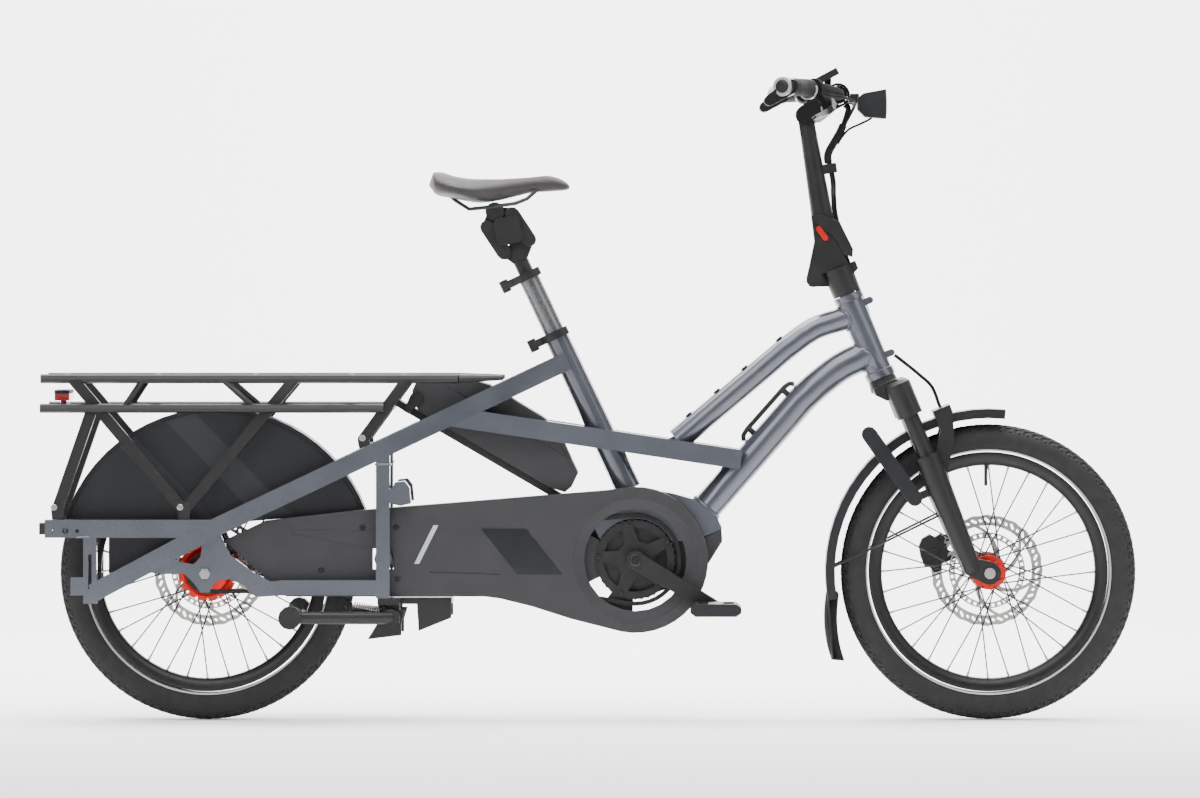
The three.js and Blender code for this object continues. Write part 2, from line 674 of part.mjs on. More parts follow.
function shellOutline() {
  const { x, z } = bottomBracket;
  const r = motor.radius;
  const outerShares = [[2.16, 0.78], [2.04, 1.05], [1.49, 1.49], [0.91, 1.65], [0.2, 1.76], [-0.57, 1.73],
    [-0.86, 1.54], [-1.07, 0.86]];
  return [
    ...arc(x, z, r + runningGap, noseShares.arcToDeg, noseShares.arcFromDeg, 8),
    [x + r * noseShares.backX, z + r * noseShares.backZ + runningGap],
    [x + r * noseShares.frontX, z + r * noseShares.frontZ + runningGap],
    ...scaled(outerShares, x, z, r, r),
  ];
}

function shellSolid() {
  return slab(shellOutline(), -shell.halfWidth, shell.halfWidth);
}

function bridgePlate() {
  const foot = offset(bottomBracket, topTubeFoot.forward, topTubeFoot.up);
  const half = midBeamEndOn.endSpread - midBeam.width / 2 - gap;
  const startX = seatFoot.x - seatTube.footRadius;
  const start = vec(startX, 0, midBeamHeight(startX));
  const endX = midBeamEnd().x;
  const plate = beam([start, vec(endX, 0, midBeamHeight(endX))], midBeam.height / 3, 2 * half);
  const top = midBeamHeight(foot.x) + midBeam.height / 2;
  const reach = 3 * topTube.radius;
  const low = top - midBeam.height / 2;
  const gusset = [[foot.x - reach, low], [foot.x, low], [foot.x + reach / 4, top + reach / 4],
    [foot.x - reach / 3, top + gap], [foot.x - reach, top + reach / 8]];
  return joined(plate, slab(gusset, -topTube.radius / 2, topTube.radius / 2));
}

function clampBand() {
  const low = -clampRing.height / 4;
  const band = rod(vec(0, 0, low), vec(0, 0, low + clampRing.height), clampRing.radius, clampRing.radius,
    frameSides);
  return moved(joined(band, clampEar()), seatMatrix);
}

// Ear at the back of a seat clamp, which the lever's hub bears on
function clampEar() {
  const low = -clampRing.height / 4;
  const half = 2 * clampRing.bolt;
  return box(-clampRing.earReach, -clampRing.radius + clampRing.bolt / 2, -half, half, low,
    low + clampRing.height);
}

function frontFrame() {
  const steererSpace = rod(along(headFoot, steerUp, -overrun), along(headTop, steerUp, overrun),
    runningRadius(headTube.steererRadius));
  const tubes = joined(topTubeSolid(), downTubeSolid(), headTubeSolid());
  const seat = joined(seatTubeSolid(), clampBand());
  const slotHalf = seatTube.wall / 2;
  const slot = moved(box(0, seatTube.footRadius + overrun, -slotHalf, slotHalf, -seatTube.slot,
    -clampRing.height / 3),
    seatMatrix);
  const eyes = [eyeletLug.highZ, eyeletLug.lowZ].map((z) => moved(slab(capsule(headTube.steererRadius, z,
    eyeletLug.radius, eyeletLug.reach, z, eyeletLug.radius), -eyeletLug.half, eyeletLug.half), steerMatrix));
  const whole = joined(cut(joined(tubes, ...eyes), steererSpace), shellSolid(), bridgePlate(), seat);
  return cut(whole, seatTubeBore(), slot);
}

// Rear frame, right side; the left side is its mirror image

function stayStations() {
  const top = along(seatTop, seatUp, -stayRise.topDrop);
  const knee = vec(stayRise.kneeX, -frameSpread, stayRise.kneeZ);
  return [
    vec(stay.tailX, -frameSpread, stay.tailZ),
    vec(stay.axleX, -frameSpread, stay.axleZ),
    knee,
    vec(stayRise.straightX, -frameSpread, heightOn(knee, top, stayRise.straightX)),
    vec(stayRise.neckX, -stayRise.neckSpread, heightOn(knee, top, stayRise.neckX)),
    vec(top.x, -stayRise.topSpread, top.z),
  ];
}

function stayHeight(x) {
  const stations = stayStations();
  if (x < stay.axleX) return heightOn(stations[0], stations[1], x);
  return x < stayRise.kneeX ? heightOn(stations[1], stations[2], x) : heightOn(stations[2], stations[5], x);
}

function midBeamEnd() {
  const points = downTubePoints();
  const at = between(points[2], points[3], midBeamEndOn.reachShare);
  return vec(at.x, -midBeamEndOn.endSpread, at.z + midBeam.height / 2);
}

function midBeamHeight(x) {
  const start = vec(midBeam.startX, 0, stayHeight(midBeam.startX));
  return heightOn(start, midBeamEnd(), x);
}

function midBeamSolid() {
  const end = midBeamEnd();
  const waist = vec(midBeam.waistX, -midBeam.waistSpread, midBeamHeight(midBeam.waistX));
  const seatX = seatFoot.x - seatTube.footRadius;
  const seat = vec(seatX, -midBeamEndOn.seatSpread, midBeamHeight(seatX));
  const start = vec(midBeam.startX, -midBeam.startSpread, midBeamHeight(midBeam.startX));
  return beam([start, waist, seat, vec(end.x, -midBeamEndOn.endSpread, end.z)], midBeam.height,
    midBeam.width);
}

function dropoutSolid() {
  const shares = [[-0.66, 0.05], [-0.46, -0.02], [-0.23, 0], [-0.12, -0.31], [-0.05, -0.6], [0.05, -0.6],
    [0.09, -0.33], [0.15, -0.2], [0.28, -0.18], [0.43, -0.38], [0.5, -0.64], [0.58, -0.74], [0.9, -0.68],
    [0.9, -0.2], [0.72, -0.25], [0.5, 0.11], [0.28, 0.6], [0.17, 1.25], [-0.02, 1.12], [-0.05, 0.52],
    [-0.12, 0.3], [-0.4, 0.42]];
  const outline = scaled(shares, 0, tyre.radius, dropout.length, dropout.rise);
  const half = dropout.thickness / 2;
  const plate = slab(outline, -frameSpread - half, -frameSpread + half);
  const bossHalf = half + gap * 5;
  return joined(plate, crossRod(0, tyre.radius, -frameSpread - bossHalf, -frameSpread + bossHalf,
    dropout.bossRadius, 16));
}

function yokeSolid(growth = 0) {
  const end = offset(bottomBracket, -yoke.endBack, yoke.endUp);
  const stations = [
    vec(upright.x + upright.width / 2, -yoke.spread, yoke.z),
    vec(yoke.kneeX, -yoke.spread, yoke.z),
    vec(end.x, -yoke.spread, end.z),
  ];
  return beam(stations, yoke.height + 2 * growth, yoke.width + 2 * growth);
}

function tailBeamSolid() {
  const half = stay.width / 2;
  const low = tailBeam.z - tailBeam.height / 2;
  const main = box(tailBeam.startX, tailBeam.endX, -frameSpread - half, -frameSpread + half, low,
    low + tailBeam.height);
  const holes = [-1, 0, 1].map((step) => crossRod(tailHoles.x + step * tailHoles.apart, tailHoles.z,
    -frameOuter - overrun, -frameSpread + half + overrun,
    step === 0 ? tailHoles.radius : tailHoles.smallRadius, thinSides));
  return cut(main, ...holes);
}

function tailPostSolid() {
  const half = stay.width / 2;
  const [y0, y1] = [-frameSpread - half, -frameSpread + half];
  const top = tailBeam.z - tailBeam.height / 4;
  const main = box(tailPost.x, tailPost.x + tailPost.width, y0, y1, tailPost.foot, top);
  const middle = tailPost.x + tailPost.width / 2;
  const slot = box(middle - tailPost.slotWidth / 2, middle + tailPost.slotWidth / 2, y0 - overrun,
    y1 + overrun,
    tailPost.slotLow, tailPost.slotHigh);
  const plate = box(tailPost.x - footPlate.back, tailPost.x + overrun, y0, y0 + footPlate.width,
    footPlate.low, footPlate.high);
  return joined(cut(main, slot), plate);
}

// Rubber stop on its arm, in front of the upright
function stopSolid() {
  const half = stay.width / 2;
  const x = upright.x + upright.width;
  const outline = scaled(
    [[0, 0.1], [0.5, 0], [1, 0.1], [0.92, 0.75], [0.7, 1], [0.25, 0.96], [0.1, 0.7], [-0.3, 0.6], [-0.3,
      0.3]],
    x + gap, stop.z, stop.width, stop.height);
  return slab(outline, -frameSpread - half, -frameSpread + half);
}

function rearFrame() {
  const half = stay.width / 2;
  const [y0, y1] = [-frameSpread - half, -frameSpread + half];
  const postTop = stayHeight(upright.x + upright.width / 2);
  const post = box(upright.x, upright.x + upright.width, y0, y1, upright.foot, postTop);
  const lowTube = box(chainstay.startX, upright.x + overrun, y0, y1, chainstay.low, chainstay.high);
  const cross = crossRod(upright.x + upright.width / 2, yoke.z, y1 - overrun, -gap / 2, yoke.crossRadius);
  const bore = crossRod(0, tyre.radius, -frameOuter - overrun, 0, hubBoreRadius);
  const whole = joined(beam(stayStations(), stay.height, stay.width), midBeamSolid(), tailBeamSolid(),
    tailPostSolid(),
    post, lowTube, cross, yokeSolid(), dropoutSolid(), stopSolid());
  const shellSpace = slab(inset(shellOutline(), -gap * 1.5), -frameOuter, frameOuter);
  return cut(whole, bore, seatTubeSolid(3 * gap), downTubeSolid(2 * gap), shellSpace);
}

function bumperBar() {
  const x = tailBeam.startX - gap;
  const rise = tailBeam.height / 2 - bumper.inset;
  const plate = box(x - bumper.thickness, x, -frameOuter, frameOuter, tailBeam.z - rise, tailBeam.z + rise);
  const half = frameSpread - stay.width;
  const middle = box(x - bumper.thickness - overrun, x - bumper.thickness / 2, -half, half,
    tailBeam.z - tailBeam.height, tailBeam.z + tailBeam.height);
  return cut(plate, middle);
}

function rearAxleSolid() {
  const inner = frameSpread - dropout.thickness / 2 - gap * 6;
  const outer = frameSpread + dropout.thickness / 2 + gap * 6;
  const rightEnd = chainlineY + sprocket.width / 2 + gap;
  const leftEnd = disc.y + disc.width / 2 + 3 * gap;
  return joined(
    crossRod(0, 0, -outer - nut.width, outer + nut.width, axleRadius),
    crossRod(0, 0, -inner, -rightEnd, nut.radius, rodSides),
    crossRod(0, 0, leftEnd, inner, nut.radius, rodSides),
    crossRod(0, 0, -outer - nut.width, -outer, nut.radius, thinSides),
    crossRod(0, 0, outer, outer + nut.width, nut.radius, thinSides),
  );
}

function rearCaliperSolid() {
  const outline = capsule(-caliper.height, caliper.length, caliper.length / 3, -caliper.length,
    caliper.height * 1.3,
    caliper.length / 3);
  const inner = guard.halfWidth + sidePlate.thickness + 2 * gap;
  const body = slab(outline, inner, disc.y + caliper.halfWidth);
  const space = disc.width / 2 + runningGap;
  const arm = slab(outline, disc.y + caliper.halfWidth - overrun, frameSpread - stay.width / 2 - gap);
  return cut(joined(body, arm), crossRod(0, 0, disc.y - space, disc.y + space, disc.radius + runningGap, 24));
}

// Motor and chain drive

function motorSolid() {
  const { x, z } = bottomBracket;
  const r = motor.radius;
  const outline = [
    ...arc(x, z, r, noseShares.arcFromDeg, noseShares.arcToDeg, 8),
    ...arc(x, z, r, noseShares.arcToDeg + 20, 308, 9),
    [x + r * 1.4, z - r * 0.62], [x + r * 1.84, z - r * 0.08], [x + r * 2.17, z + r * 0.45],
    [x + r * noseShares.frontX, z + r * noseShares.frontZ],
    [x + r * noseShares.backX, z + r * noseShares.backZ],
  ];
  const body = slab(outline, -motor.rightY, motor.leftY);
  const boss = crossRod(x, z, -motor.rightY - motor.bossRight, motor.leftY + motor.bossLeft,
    motor.bossRadius, 20);
  return cut(joined(body, boss), crossRod(x, z, -chainlineY, crankRootY, runningRadius(spindle.radius)));
}

// Direction, in degrees, from a circle's centre to where its tangent from a point touches
function tangentDeg(centre, radius, point, side) {
  const reach = Math.hypot(point.x - centre.x, point.z - centre.z);
  const heading = Math.atan2(point.z - centre.z, point.x - centre.x);
  return THREE.MathUtils.radToDeg(heading + side * Math.acos(radius / reach));
}

function chainLoop(shift) {
  const rear = vec(0, 0, tyre.radius);
  const guide = vec(chainGuide.x, 0, chainGuide.z - shift);
  const frontRadius = chainring.pitchRadius + shift;
  const rearRadius = sprocket.pitchRadius + shift;
  const span = Math.hypot(bottomBracket.x - rear.x, bottomBracket.z - rear.z);
  const slope = Math.atan2(bottomBracket.z - rear.z, bottomBracket.x - rear.x);
  const topDeg = THREE.MathUtils.radToDeg(slope + Math.acos((rearRadius - frontRadius) / span));
  const frontLow = tangentDeg(bottomBracket, frontRadius, guide, 1);
  const rearLow = tangentDeg(rear, rearRadius, guide, -1) + 360;
  return [
    ...arc(bottomBracket.x, bottomBracket.z, frontRadius, frontLow, topDeg, 16),
    ...arc(rear.x, rear.z, rearRadius, topDeg, rearLow, 10),
    [guide.x, guide.z],
  ];
}

function chainSolid() {
  const [y0, y1] = [-chainlineY - chain.halfWidth, -chainlineY + chain.halfWidth];
  const inner = slab(chainLoop(-chain.halfHeight), y0 - overrun, y1 + overrun);
  return cut(slab(chainLoop(chain.halfHeight), y0, y1), inner);
}

function chainringSolid() {
  const tip = chainring.pitchRadius - chain.halfHeight - 2 * runningGap;
  const root = tip - chain.halfHeight;
  const [y0, y1] = [-chainlineY - chainring.width / 2, -chainlineY + chainring.width / 2];
  const ring = cut(slab(toothed(0, 0, tip, root, chainring.teethCount), y0, y1),
    crossRod(0, 0, y0 - overrun, y1 + overrun, root - chainring.bandWidth, 24));
  const outer = y0 - spiderBolt.height;
  const arm = [[0, -chainring.armWidth], [spiderBolt.circle, -chainring.armWidth / 2],
    [spiderBolt.circle, chainring.armWidth / 2], [0, chainring.armWidth]];
  const parts = [ring, crossRod(0, 0, outer, y1, 2 * spindle.bossRadius, frameSides)];
  for (let k = 0; k < chainring.armCount; k += 1) {
    const angle = (360 * (k + chainring.turnShare)) / chainring.armCount;
    const bolt = crossRod(spiderBolt.circle, 0, outer - spiderBolt.height, outer + overrun / 2,
      spiderBolt.radius, thinSides);
    parts.push(turned(joined(slab(arm, outer, y1), bolt), angle));
  }
  const bore = crossRod(0, 0, outer - overrun, y1 + overrun, runningRadius(spindle.radius));
  return cut(joined(parts), bore);
}

// Crank with the spindle's bore or, on the right side, the spindle itself
function crankSolid(withSpindle) {
  const outer = crankRootY + crank.thickness;
  const outline = capsule(0, 0, crank.rootWidth / 2, crank.length, 0, crank.tipWidth / 2, 5);
  const arm = slab(outline, -outer, -crankRootY);
  const inner = chainlineY + chainring.width / 2 + spiderBolt.height + gap;
  const boss = crossRod(0, 0, -crankRootY - overrun, -inner, spindle.bossRadius, frameSides);
  const eye = crossRod(crank.length, 0, -outer - overrun, -crankRootY + overrun,
    runningRadius(pedal.axleRadius));
  const body = cut(joined(arm, boss), eye);
  if (withSpindle) return joined(body, crossRod(0, 0, -outer, outer, spindle.radius));
  return cut(body, crossRod(0, 0, -outer - overrun, 0, runningRadius(spindle.radius)));
}

function pedalSolid() {
  const start = crankRootY + crank.thickness + pedal.gap;
  const [halfLength, halfHeight] = [pedal.length / 2, pedal.height / 2];
  const outline = scaled([[-1, -0.4], [-0.8, -1], [0.8, -1], [1, -0.4], [1, 0.4], [0.8, 1], [-0.8, 1], [-1,
    0.4]],
    0, 0, halfLength, halfHeight);
  const body = slab(outline, -start - pedal.width, -start);
  const windows = [-1, 1].map((side) => {
    const [near, far] = [pedal.axleRadius + pedal.rail / 2, halfLength - pedal.rail];
    const [x0, x1] = side < 0 ? [-far, -near] : [near, far];
    return box(x0, x1, -start - pedal.width + pedal.rail, -start - pedal.rail, -pedal.height, pedal.height);
  });
  return joined(cut(body, ...windows), crossRod(0, 0, -start - overrun, -crankRootY, pedal.axleRadius));
}

// Chain case

function caseOutline() {
  const { x, z } = bottomBracket;
  const rearTop = vec(caseTop.kneeX, 0, caseTop.kneeZ);
  return [
    [caseRear.noseX, caseRear.noseZ], [caseRear.lowX, caseRear.lowZ], [caseFloor.rearX, caseFloor.z],
    [caseFloor.frontX, caseFloor.z], [caseFloor.midX, caseFloor.midZ], [caseFloor.bayX, caseFloor.bayZ],
    [caseFloor.neckX, caseFloor.neckZ],
    ...arc(x, z, caseShell.radius, caseArc.fromDeg, caseArc.toDeg, 22),
    [caseTop.frontX, caseTop.frontZ], [rearTop.x, rearTop.z], [caseRear.topX, caseRear.topZ],
  ];
}

function caseSolid() {
  const { x, z } = bottomBracket;
  const { outerY, innerY, wall, windowRadius, bevelRadius, bevelDepth } = caseShell;
  const outline = caseOutline();
  const hollow = slab(inset(outline, wall), -outerY + wall, -innerY + overrun);
  const rearEnd = box(-tyre.radius, caseRear.openX, -outerY + wall, -innerY + overrun, 0, tyre.radius * 2);
  const shellBody = cut(slab(outline, -outerY, -innerY), hollow, rearEnd,
    crossRod(x, z, -outerY - overrun, -innerY + overrun, bevelRadius, 24));
  const bevel = ringAboutY([[bevelRadius + wall, -outerY], [bevelRadius + wall, -outerY + wall],
    [windowRadius + wall, -outerY + wall + bevelDepth], [windowRadius, -outerY + bevelDepth]], 24);
  const dish = moved(bevel, placement(bottomBracket, 0));
  const slotX = upright.x + upright.width / 2;
  const reach = yoke.crossRadius + caseArc.slotClearance;
  const slot = box(slotX - reach, slotX + reach, -outerY - overrun, -outerY + 2 * wall, yoke.z - reach,
    yoke.z + reach);
  const guide = crossRod(chainGuide.x, chainGuide.z - chain.halfHeight - gap - chainGuide.radius,
    -outerY + wall / 2, -chainlineY + chain.halfWidth, chainGuide.radius);
  const pane = slab([[casePane.x, casePane.z], [casePane.x + casePane.lean, casePane.z - casePane.height],
    [casePane.x + casePane.lean + casePane.width, casePane.z - casePane.height],
    [casePane.x + casePane.width, casePane.z]], -outerY - overrun, -outerY + casePane.depth);
  const groove = slab([[caseGroove.x, caseGroove.z - caseGroove.width / 2], [caseGroove.x + caseGroove.length,
    caseGroove.z - caseGroove.spread], [caseGroove.x + caseGroove.length,
      caseGroove.z + caseGroove.width / 3],
  [caseGroove.x, caseGroove.z + caseGroove.width / 3]], -outerY - overrun, -outerY + caseGroove.depth);
  const slash = slab([[caseGroove.slashX, caseGroove.slashZ], [caseGroove.slashX - caseGroove.spread,
    caseGroove.slashZ - 2 * caseGroove.spread], [caseGroove.slashX - caseGroove.spread + caseGroove.width,
    caseGroove.slashZ - 2 * caseGroove.spread], [caseGroove.slashX + caseGroove.width, caseGroove.slashZ]],
  -outerY - overrun, -outerY + caseGroove.depth);
  return cut(joined(shellBody, dish, guide), slot, pane, groove, slash);
}

// Battery and its cradle, drawn along the cradle and then turned

function cradleSlopeDeg() {
  return THREE.MathUtils.radToDeg(Math.atan2(cradle.endZ - cradle.startZ, cradle.endX - cradle.startX));
}

function alongCradle(body) {
  const matrix = placement(vec(cradle.startX, 0, cradle.startZ), -cradleSlopeDeg());
  return moved(body, matrix);
}

function batterySolid() {
  const shares = [[0.155, 0], [0.9, 0], [0.985, 0.06], [1, 0.2], [0.994, 0.46], [0.79, 0.95], [0.7, 0.985],
    [0.393, 1], [0.307, 0.93], [0.134, 0.6], [0.07, 0.42], [0.075, 0.25], [0.1, 0.12]];
  const low = cradle.thickness / 2 + gap;
  const half = battery.halfWidth;
  const body = slab(scaled(shares, 0, low, battery.length, battery.height), -half, half);
  const groove = battery.height * battery.grooveShare;
  const line = (side) => box(battery.length / 8, battery.length * 0.9, side * half - battery.grooveDepth,
    side * half + battery.grooveDepth, low + groove, low + groove + 2 * battery.grooveDepth);
  return alongCradle(cut(body, line(-1), line(1)));
}

function cradleSolid() {
  const half = cradle.thickness / 2;
  const length = Math.hypot(cradle.endX - cradle.startX, cradle.endZ - cradle.startZ);
  const rail = box(0, length, -cradle.halfWidth, cradle.halfWidth, -half, half);
  const earY = battery.halfWidth + gap;
  const ear = slab(capsule(cradle.earX, 0, half, cradle.earX * 1.1, cradle.earHeight, half * 2),
    -earY - half, -earY);
  const foot = box(cradle.earX - half, cradle.earX + half, -earY - half, earY + half, -half, half);
  const whole = alongCradle(joined(rail, foot, bothSides(ear)));
  const yokes = bothSides(yokeSolid(gap));
  return cut(whole, yokes);
}

// Rack

function rackSolid() {
  const { tube, topZ, topSpread, lowZ, tailX, lowEndX } = rack;
  const lowSpread = frameSpread + strut.width / 2 + tube - overrun;
  const weldX = rackFront.straightX;
  const rail = joined(
    rod(vec(tailX, -topSpread, topZ), vec(weldX, -topSpread, topZ), tube, tube, rodSides),
    rod(vec(weldX, -topSpread, topZ), vec(rackFront.tipX, -rackFront.tipSpread, rackFront.tipZ), tube,
      tube / 2, rodSides),
    rod(vec(tailX, -lowSpread, lowZ), vec(lowEndX, -lowSpread, lowZ), tube, tube, rodSides),
  );
  const strutBeam = (x0, z0, x1, z1) => beam([vec(x0, -frameSpread, z0), vec(x1, -frameSpread, z1)],
    strut.height, strut.width);
  const low = tailBeam.z + tailBeam.height / 2;
  const foot = (x, lift) => slab([[x - rackFoot.radius, low + gap], [x + rackFoot.radius, low + gap],
    [x + rackFoot.radius * 1.2, low + lift], [x - rackFoot.radius * 1.2, low + lift]],
  -frameSpread - rackFoot.width, -frameSpread + rackFoot.width);
  const frontLow = vec(frontStrut.footX, 0, stayHeight(frontStrut.footX) + stay.height);
  const struts = [
    strutBeam(rearStrut.footX, low + rackFoot.lift, rearStrut.topX, lowZ),
    strutBeam(middleFoot.x - middleFoot.half, low + rackFoot.lift, middleFoot.rearTopX, topZ),
    strutBeam(middleFoot.x + middleFoot.half, low + rackFoot.lift, middleFoot.frontTopX, topZ),
    strutBeam(frontLow.x, frontLow.z, frontStrut.topX, topZ),
    foot(rearStrut.footX, rackFoot.lift), foot(middleFoot.x, rackFoot.lift + rackFoot.radius),
    slab(capsule(frontLow.x, frontLow.z, rackFoot.radius, frontLow.x + strut.height / 4,
      frontLow.z - stay.height * 0.75, rackFoot.radius), -frameSpread - rackFoot.width,
        -frameSpread + rackFoot.width),
  ];
  const braces = brace.topXs.map((topX, i) => rod(vec(topX, -topSpread, topZ),
    vec(topX + brace.runs[i], -lowSpread, lowZ), brace.radius, brace.radius, thinSides));
  const side = joined(rail, ...struts, ...braces);
  const bars = Object.values(crossTubeXs).map((x) => crossRod(x, topZ, -topSpread, topSpread,
    rack.crossRadius, thinSides));
  const lampBar = crossRod(tailLamp.barX, lowZ, -lowSpread, lowSpread, rack.crossRadius, thinSides);
  const seat = cradleSeat();
  const cradleBar = crossRod(seat.x, seat.z, -frameSpread, frameSpread, rack.crossRadius, thinSides);
  const grownStay = beam(stayStations(), stay.height + 2 * gap, stay.width + overrun * 2);
  return cut(joined(bothSides(side), ...bars, lampBar, cradleBar), bothSides(grownStay));
}

// Centre of the cross tube on which the cradle's upper end rests
function cradleSeat() {
  const slope = radians(cradleSlopeDeg());
  const drop = cradle.thickness / 2 + gap + rack.crossRadius;
  const run = rack.tube;
  return vec(cradle.startX + run * Math.cos(slope) + drop * Math.sin(slope), 0,
    cradle.startZ + run * Math.sin(slope) - drop * Math.cos(slope));
}

function tailLampSolid() {
  const { x, width, z, height, depth, stalk } = tailLamp;
  const seat = rack.lowZ + rack.crossRadius * Math.cos(Math.PI / thinSides) + gap;
  const body = box(x, x + width, -depth / 2, depth / 2, z, z + height);
  const foot = box(tailLamp.barX - stalk / 2, tailLamp.barX + stalk / 2, -stalk, stalk, seat, z + height / 2);
  return joined(body, foot);
}

// Guards

function mudguardSolid(x, z, size, fromDeg, toDeg, steps) {
  const { radius, wall, halfWidth, lip } = size;
  const whole = slab(band(x, z, radius, radius - lip, fromDeg, toDeg, steps), -halfWidth, halfWidth);
  const inside = slab(band(x, z, radius - wall, radius - 2 * lip, fromDeg - 5, toDeg + 5, steps),
    -halfWidth + wall, halfWidth - wall);
  return cut(whole, inside);
}

function sidePlateSolid() {
  const [x, z] = [guard.forward, tyre.radius + guard.up];
  const y = -guard.halfWidth - gap;
  const low = tailBeam.z - tailBeam.height / 2;
  const outline = [
    ...arc(x, z, sidePlate.radius, guard.fromDeg, guard.toDeg, 24),
    [sidePlate.tabX, low], [sidePlate.tabX, sidePlate.tabZ],
    [sidePlate.tabX + sidePlate.tabWidth, stayHeight(sidePlate.tabX + sidePlate.tabWidth)],
    [stay.axleX, stayHeight(stay.axleX)],
  ];
  return slab(outline, y - sidePlate.thickness, y);
}

// Fork, in the frame of the steering axis

function forkUpper() {
  const { offset: x, spread, stanchionRadius, stanchionEnd } = legs;
  const top = -gap - crown.raceHeight;
  const steerer = rod(vec(0, 0, -crown.low / 2), vec(0, 0, headTubeLength + base.low - gap),
    headTube.steererRadius);
  const race = rod(vec(0, 0, -crown.low / 2), vec(0, 0, -gap), crown.raceRadius, crown.raceRadius - overrun,
    16);
  const bridge = slab([[-crown.back, top - overrun], [-crown.back / 2, top], [crown.front / 2, top],
    [crown.front, -crown.low / 2], [crown.front, -crown.low], [-crown.back / 3, -crown.low],
    [-crown.back, -crown.low * 0.6]], -spread, spread);
  const socket = joined(
    rod(vec(x, -spread, -crown.socketLow), vec(x, -spread, -crown.socketTop), crown.socketRadius,
      crown.socketRadius, 14),
    rod(vec(x, -spread, -crown.socketTop), vec(x, -spread, -crown.socketTop + overrun * 2),
      crown.socketRadius,
      stanchionRadius, 14),
  );
  const stanchion = rod(vec(x, -spread, -stanchionEnd), vec(x, -spread, -crown.socketLow), stanchionRadius);
  return joined(steerer, race, bridge, bothSides(joined(socket, stanchion)));
}

function legRod(growth = 0) {
  const { offset: x, spread, radius, footRadius } = legs;
  const waist = -legs.waist;
  return joined(
    rod(vec(x, -spread, -lowers.bottom), vec(x, -spread, waist), footRadius + growth, radius + growth, 14),
    rod(vec(x, -spread, waist), vec(x, -spread, -lowers.top), radius + growth, radius + growth, 14),
  );
}

function forkLowers() {
  const { offset: x, spread } = legs;
  const bore = rod(vec(x, -spread, -lowers.boreEnd), vec(x, -spread, -lowers.top + overrun * 2),
    slidingRadius(legs.stanchionRadius));
  const collar = rod(vec(x, -spread, -lowers.top - lowers.collar), vec(x, -spread, -lowers.top),
    legs.radius + lowers.rim, legs.radius + lowers.rim, 14);
  const inner = lowers.dropoutInnerY;
  const eye = slab(capsule(x, -lowers.bottom + lowers.eyeRadius / 2, legs.footRadius, forkRake, -forkLength,
    lowers.eyeRadius), -inner - lowers.dropoutWidth, -inner);
  const axleHole = crossRod(forkRake, -forkLength, -inner - lowers.dropoutWidth - overrun, -inner + overrun,
    bearingRadius);
  const low = -forkLength + frontGuard.radius + gap;
  const archOutline = [[x, -arch.bottom], [x + arch.foot * 0.6, -arch.bottom + arch.foot / 3],
    [arch.front - arch.foot / 3, low - arch.foot], [arch.front, low], [arch.front, low + arch.thickness],
    [arch.back, low + arch.thickness], [arch.back, low - arch.foot / 2], [x + arch.foot / 4,
      -lowers.top - arch.foot / 5]];
  const cheek = slab(archOutline, -arch.innerY - arch.thickness, -arch.innerY);
  const bridge = box(arch.back, arch.front, -arch.innerY - arch.thickness, arch.innerY + arch.thickness, low,
    low + arch.thickness);
  const side = cut(joined(legRod(), collar, eye, cheek), bore, axleHole);
  return joined(bothSides(side), bridge);
}

function frontMudguard() {
  const lean = headLeanDeg;
  const { radius, wall, halfWidth } = frontGuard;
  const main = mudguardSolid(forkRake, -forkLength, frontGuard, frontGuard.fromDeg - lean,
    frontGuard.toDeg - lean, 18);
  const end = radians(frontGuard.toDeg - lean);
  const [ex, ez] = [forkRake + (radius - wall / 2) * Math.cos(end),
    -forkLength + (radius - wall / 2) * Math.sin(end)];
  const flapDeg = -90 - lean + flap.leanDeg;
  const sheet = box(-overrun * 2, flap.length, -flap.width / 2, flap.width / 2, -flap.thickness / 2,
    flap.thickness / 2);
  const matrix = placement(vec(ex, 0, ez), -flapDeg);
  const wireStart = radians(guardStay.deg - lean);
  const reach = radius - frontGuard.lip / 2;
  const wire = rod(vec(forkRake + reach * Math.cos(wireStart), -halfWidth + wall / 2,
    -forkLength + reach * Math.sin(wireStart)),
    vec(legs.offset, -legs.spread + legs.radius / 2, -guardStay.z), guardStay.wire, guardStay.wire, 6);
  const wires = cut(bothSides(wire), bothSides(legRod(2 * gap)));
  return joined(main, moved(sheet, matrix), wires);
}

function frontCaliper() {
  const y = disc.y;
  const { length, height, halfWidth, slot } = caliper;
  const x = legs.offset - legs.radius - length;
  const z = -caliper.frontZ;
  const body = box(x, x + length, y - halfWidth, y + halfWidth, z, z + height);
  const mount = box(x + length / 2, legs.offset, legs.spread - legs.footRadius, legs.spread + slot, z + slot,
    z + height - slot);
  const space = disc.width / 2 + runningGap;
  const rotor = crossRod(forkRake, -forkLength, y - space, y + space, disc.radius + runningGap, 24);
  return cut(joined(body, mount), rotor, mirrored(legRod(gap * 2)));
}

function forkUnitSolid() {
  const { topX, topZ, lowX, lowZ, radius, width } = forkUnit;
  const y = -legs.spread;
  const body = slab(capsule(topX, topZ, radius, lowX, lowZ, radius, 6), y - width / 2, y + width / 2);
  const lug = box(lowX, legs.offset, y - width / 3, y + width / 3, lowZ - radius / 2, lowZ + radius / 2);
  return cut(joined(body, lug), legRod(gap * 2));
}

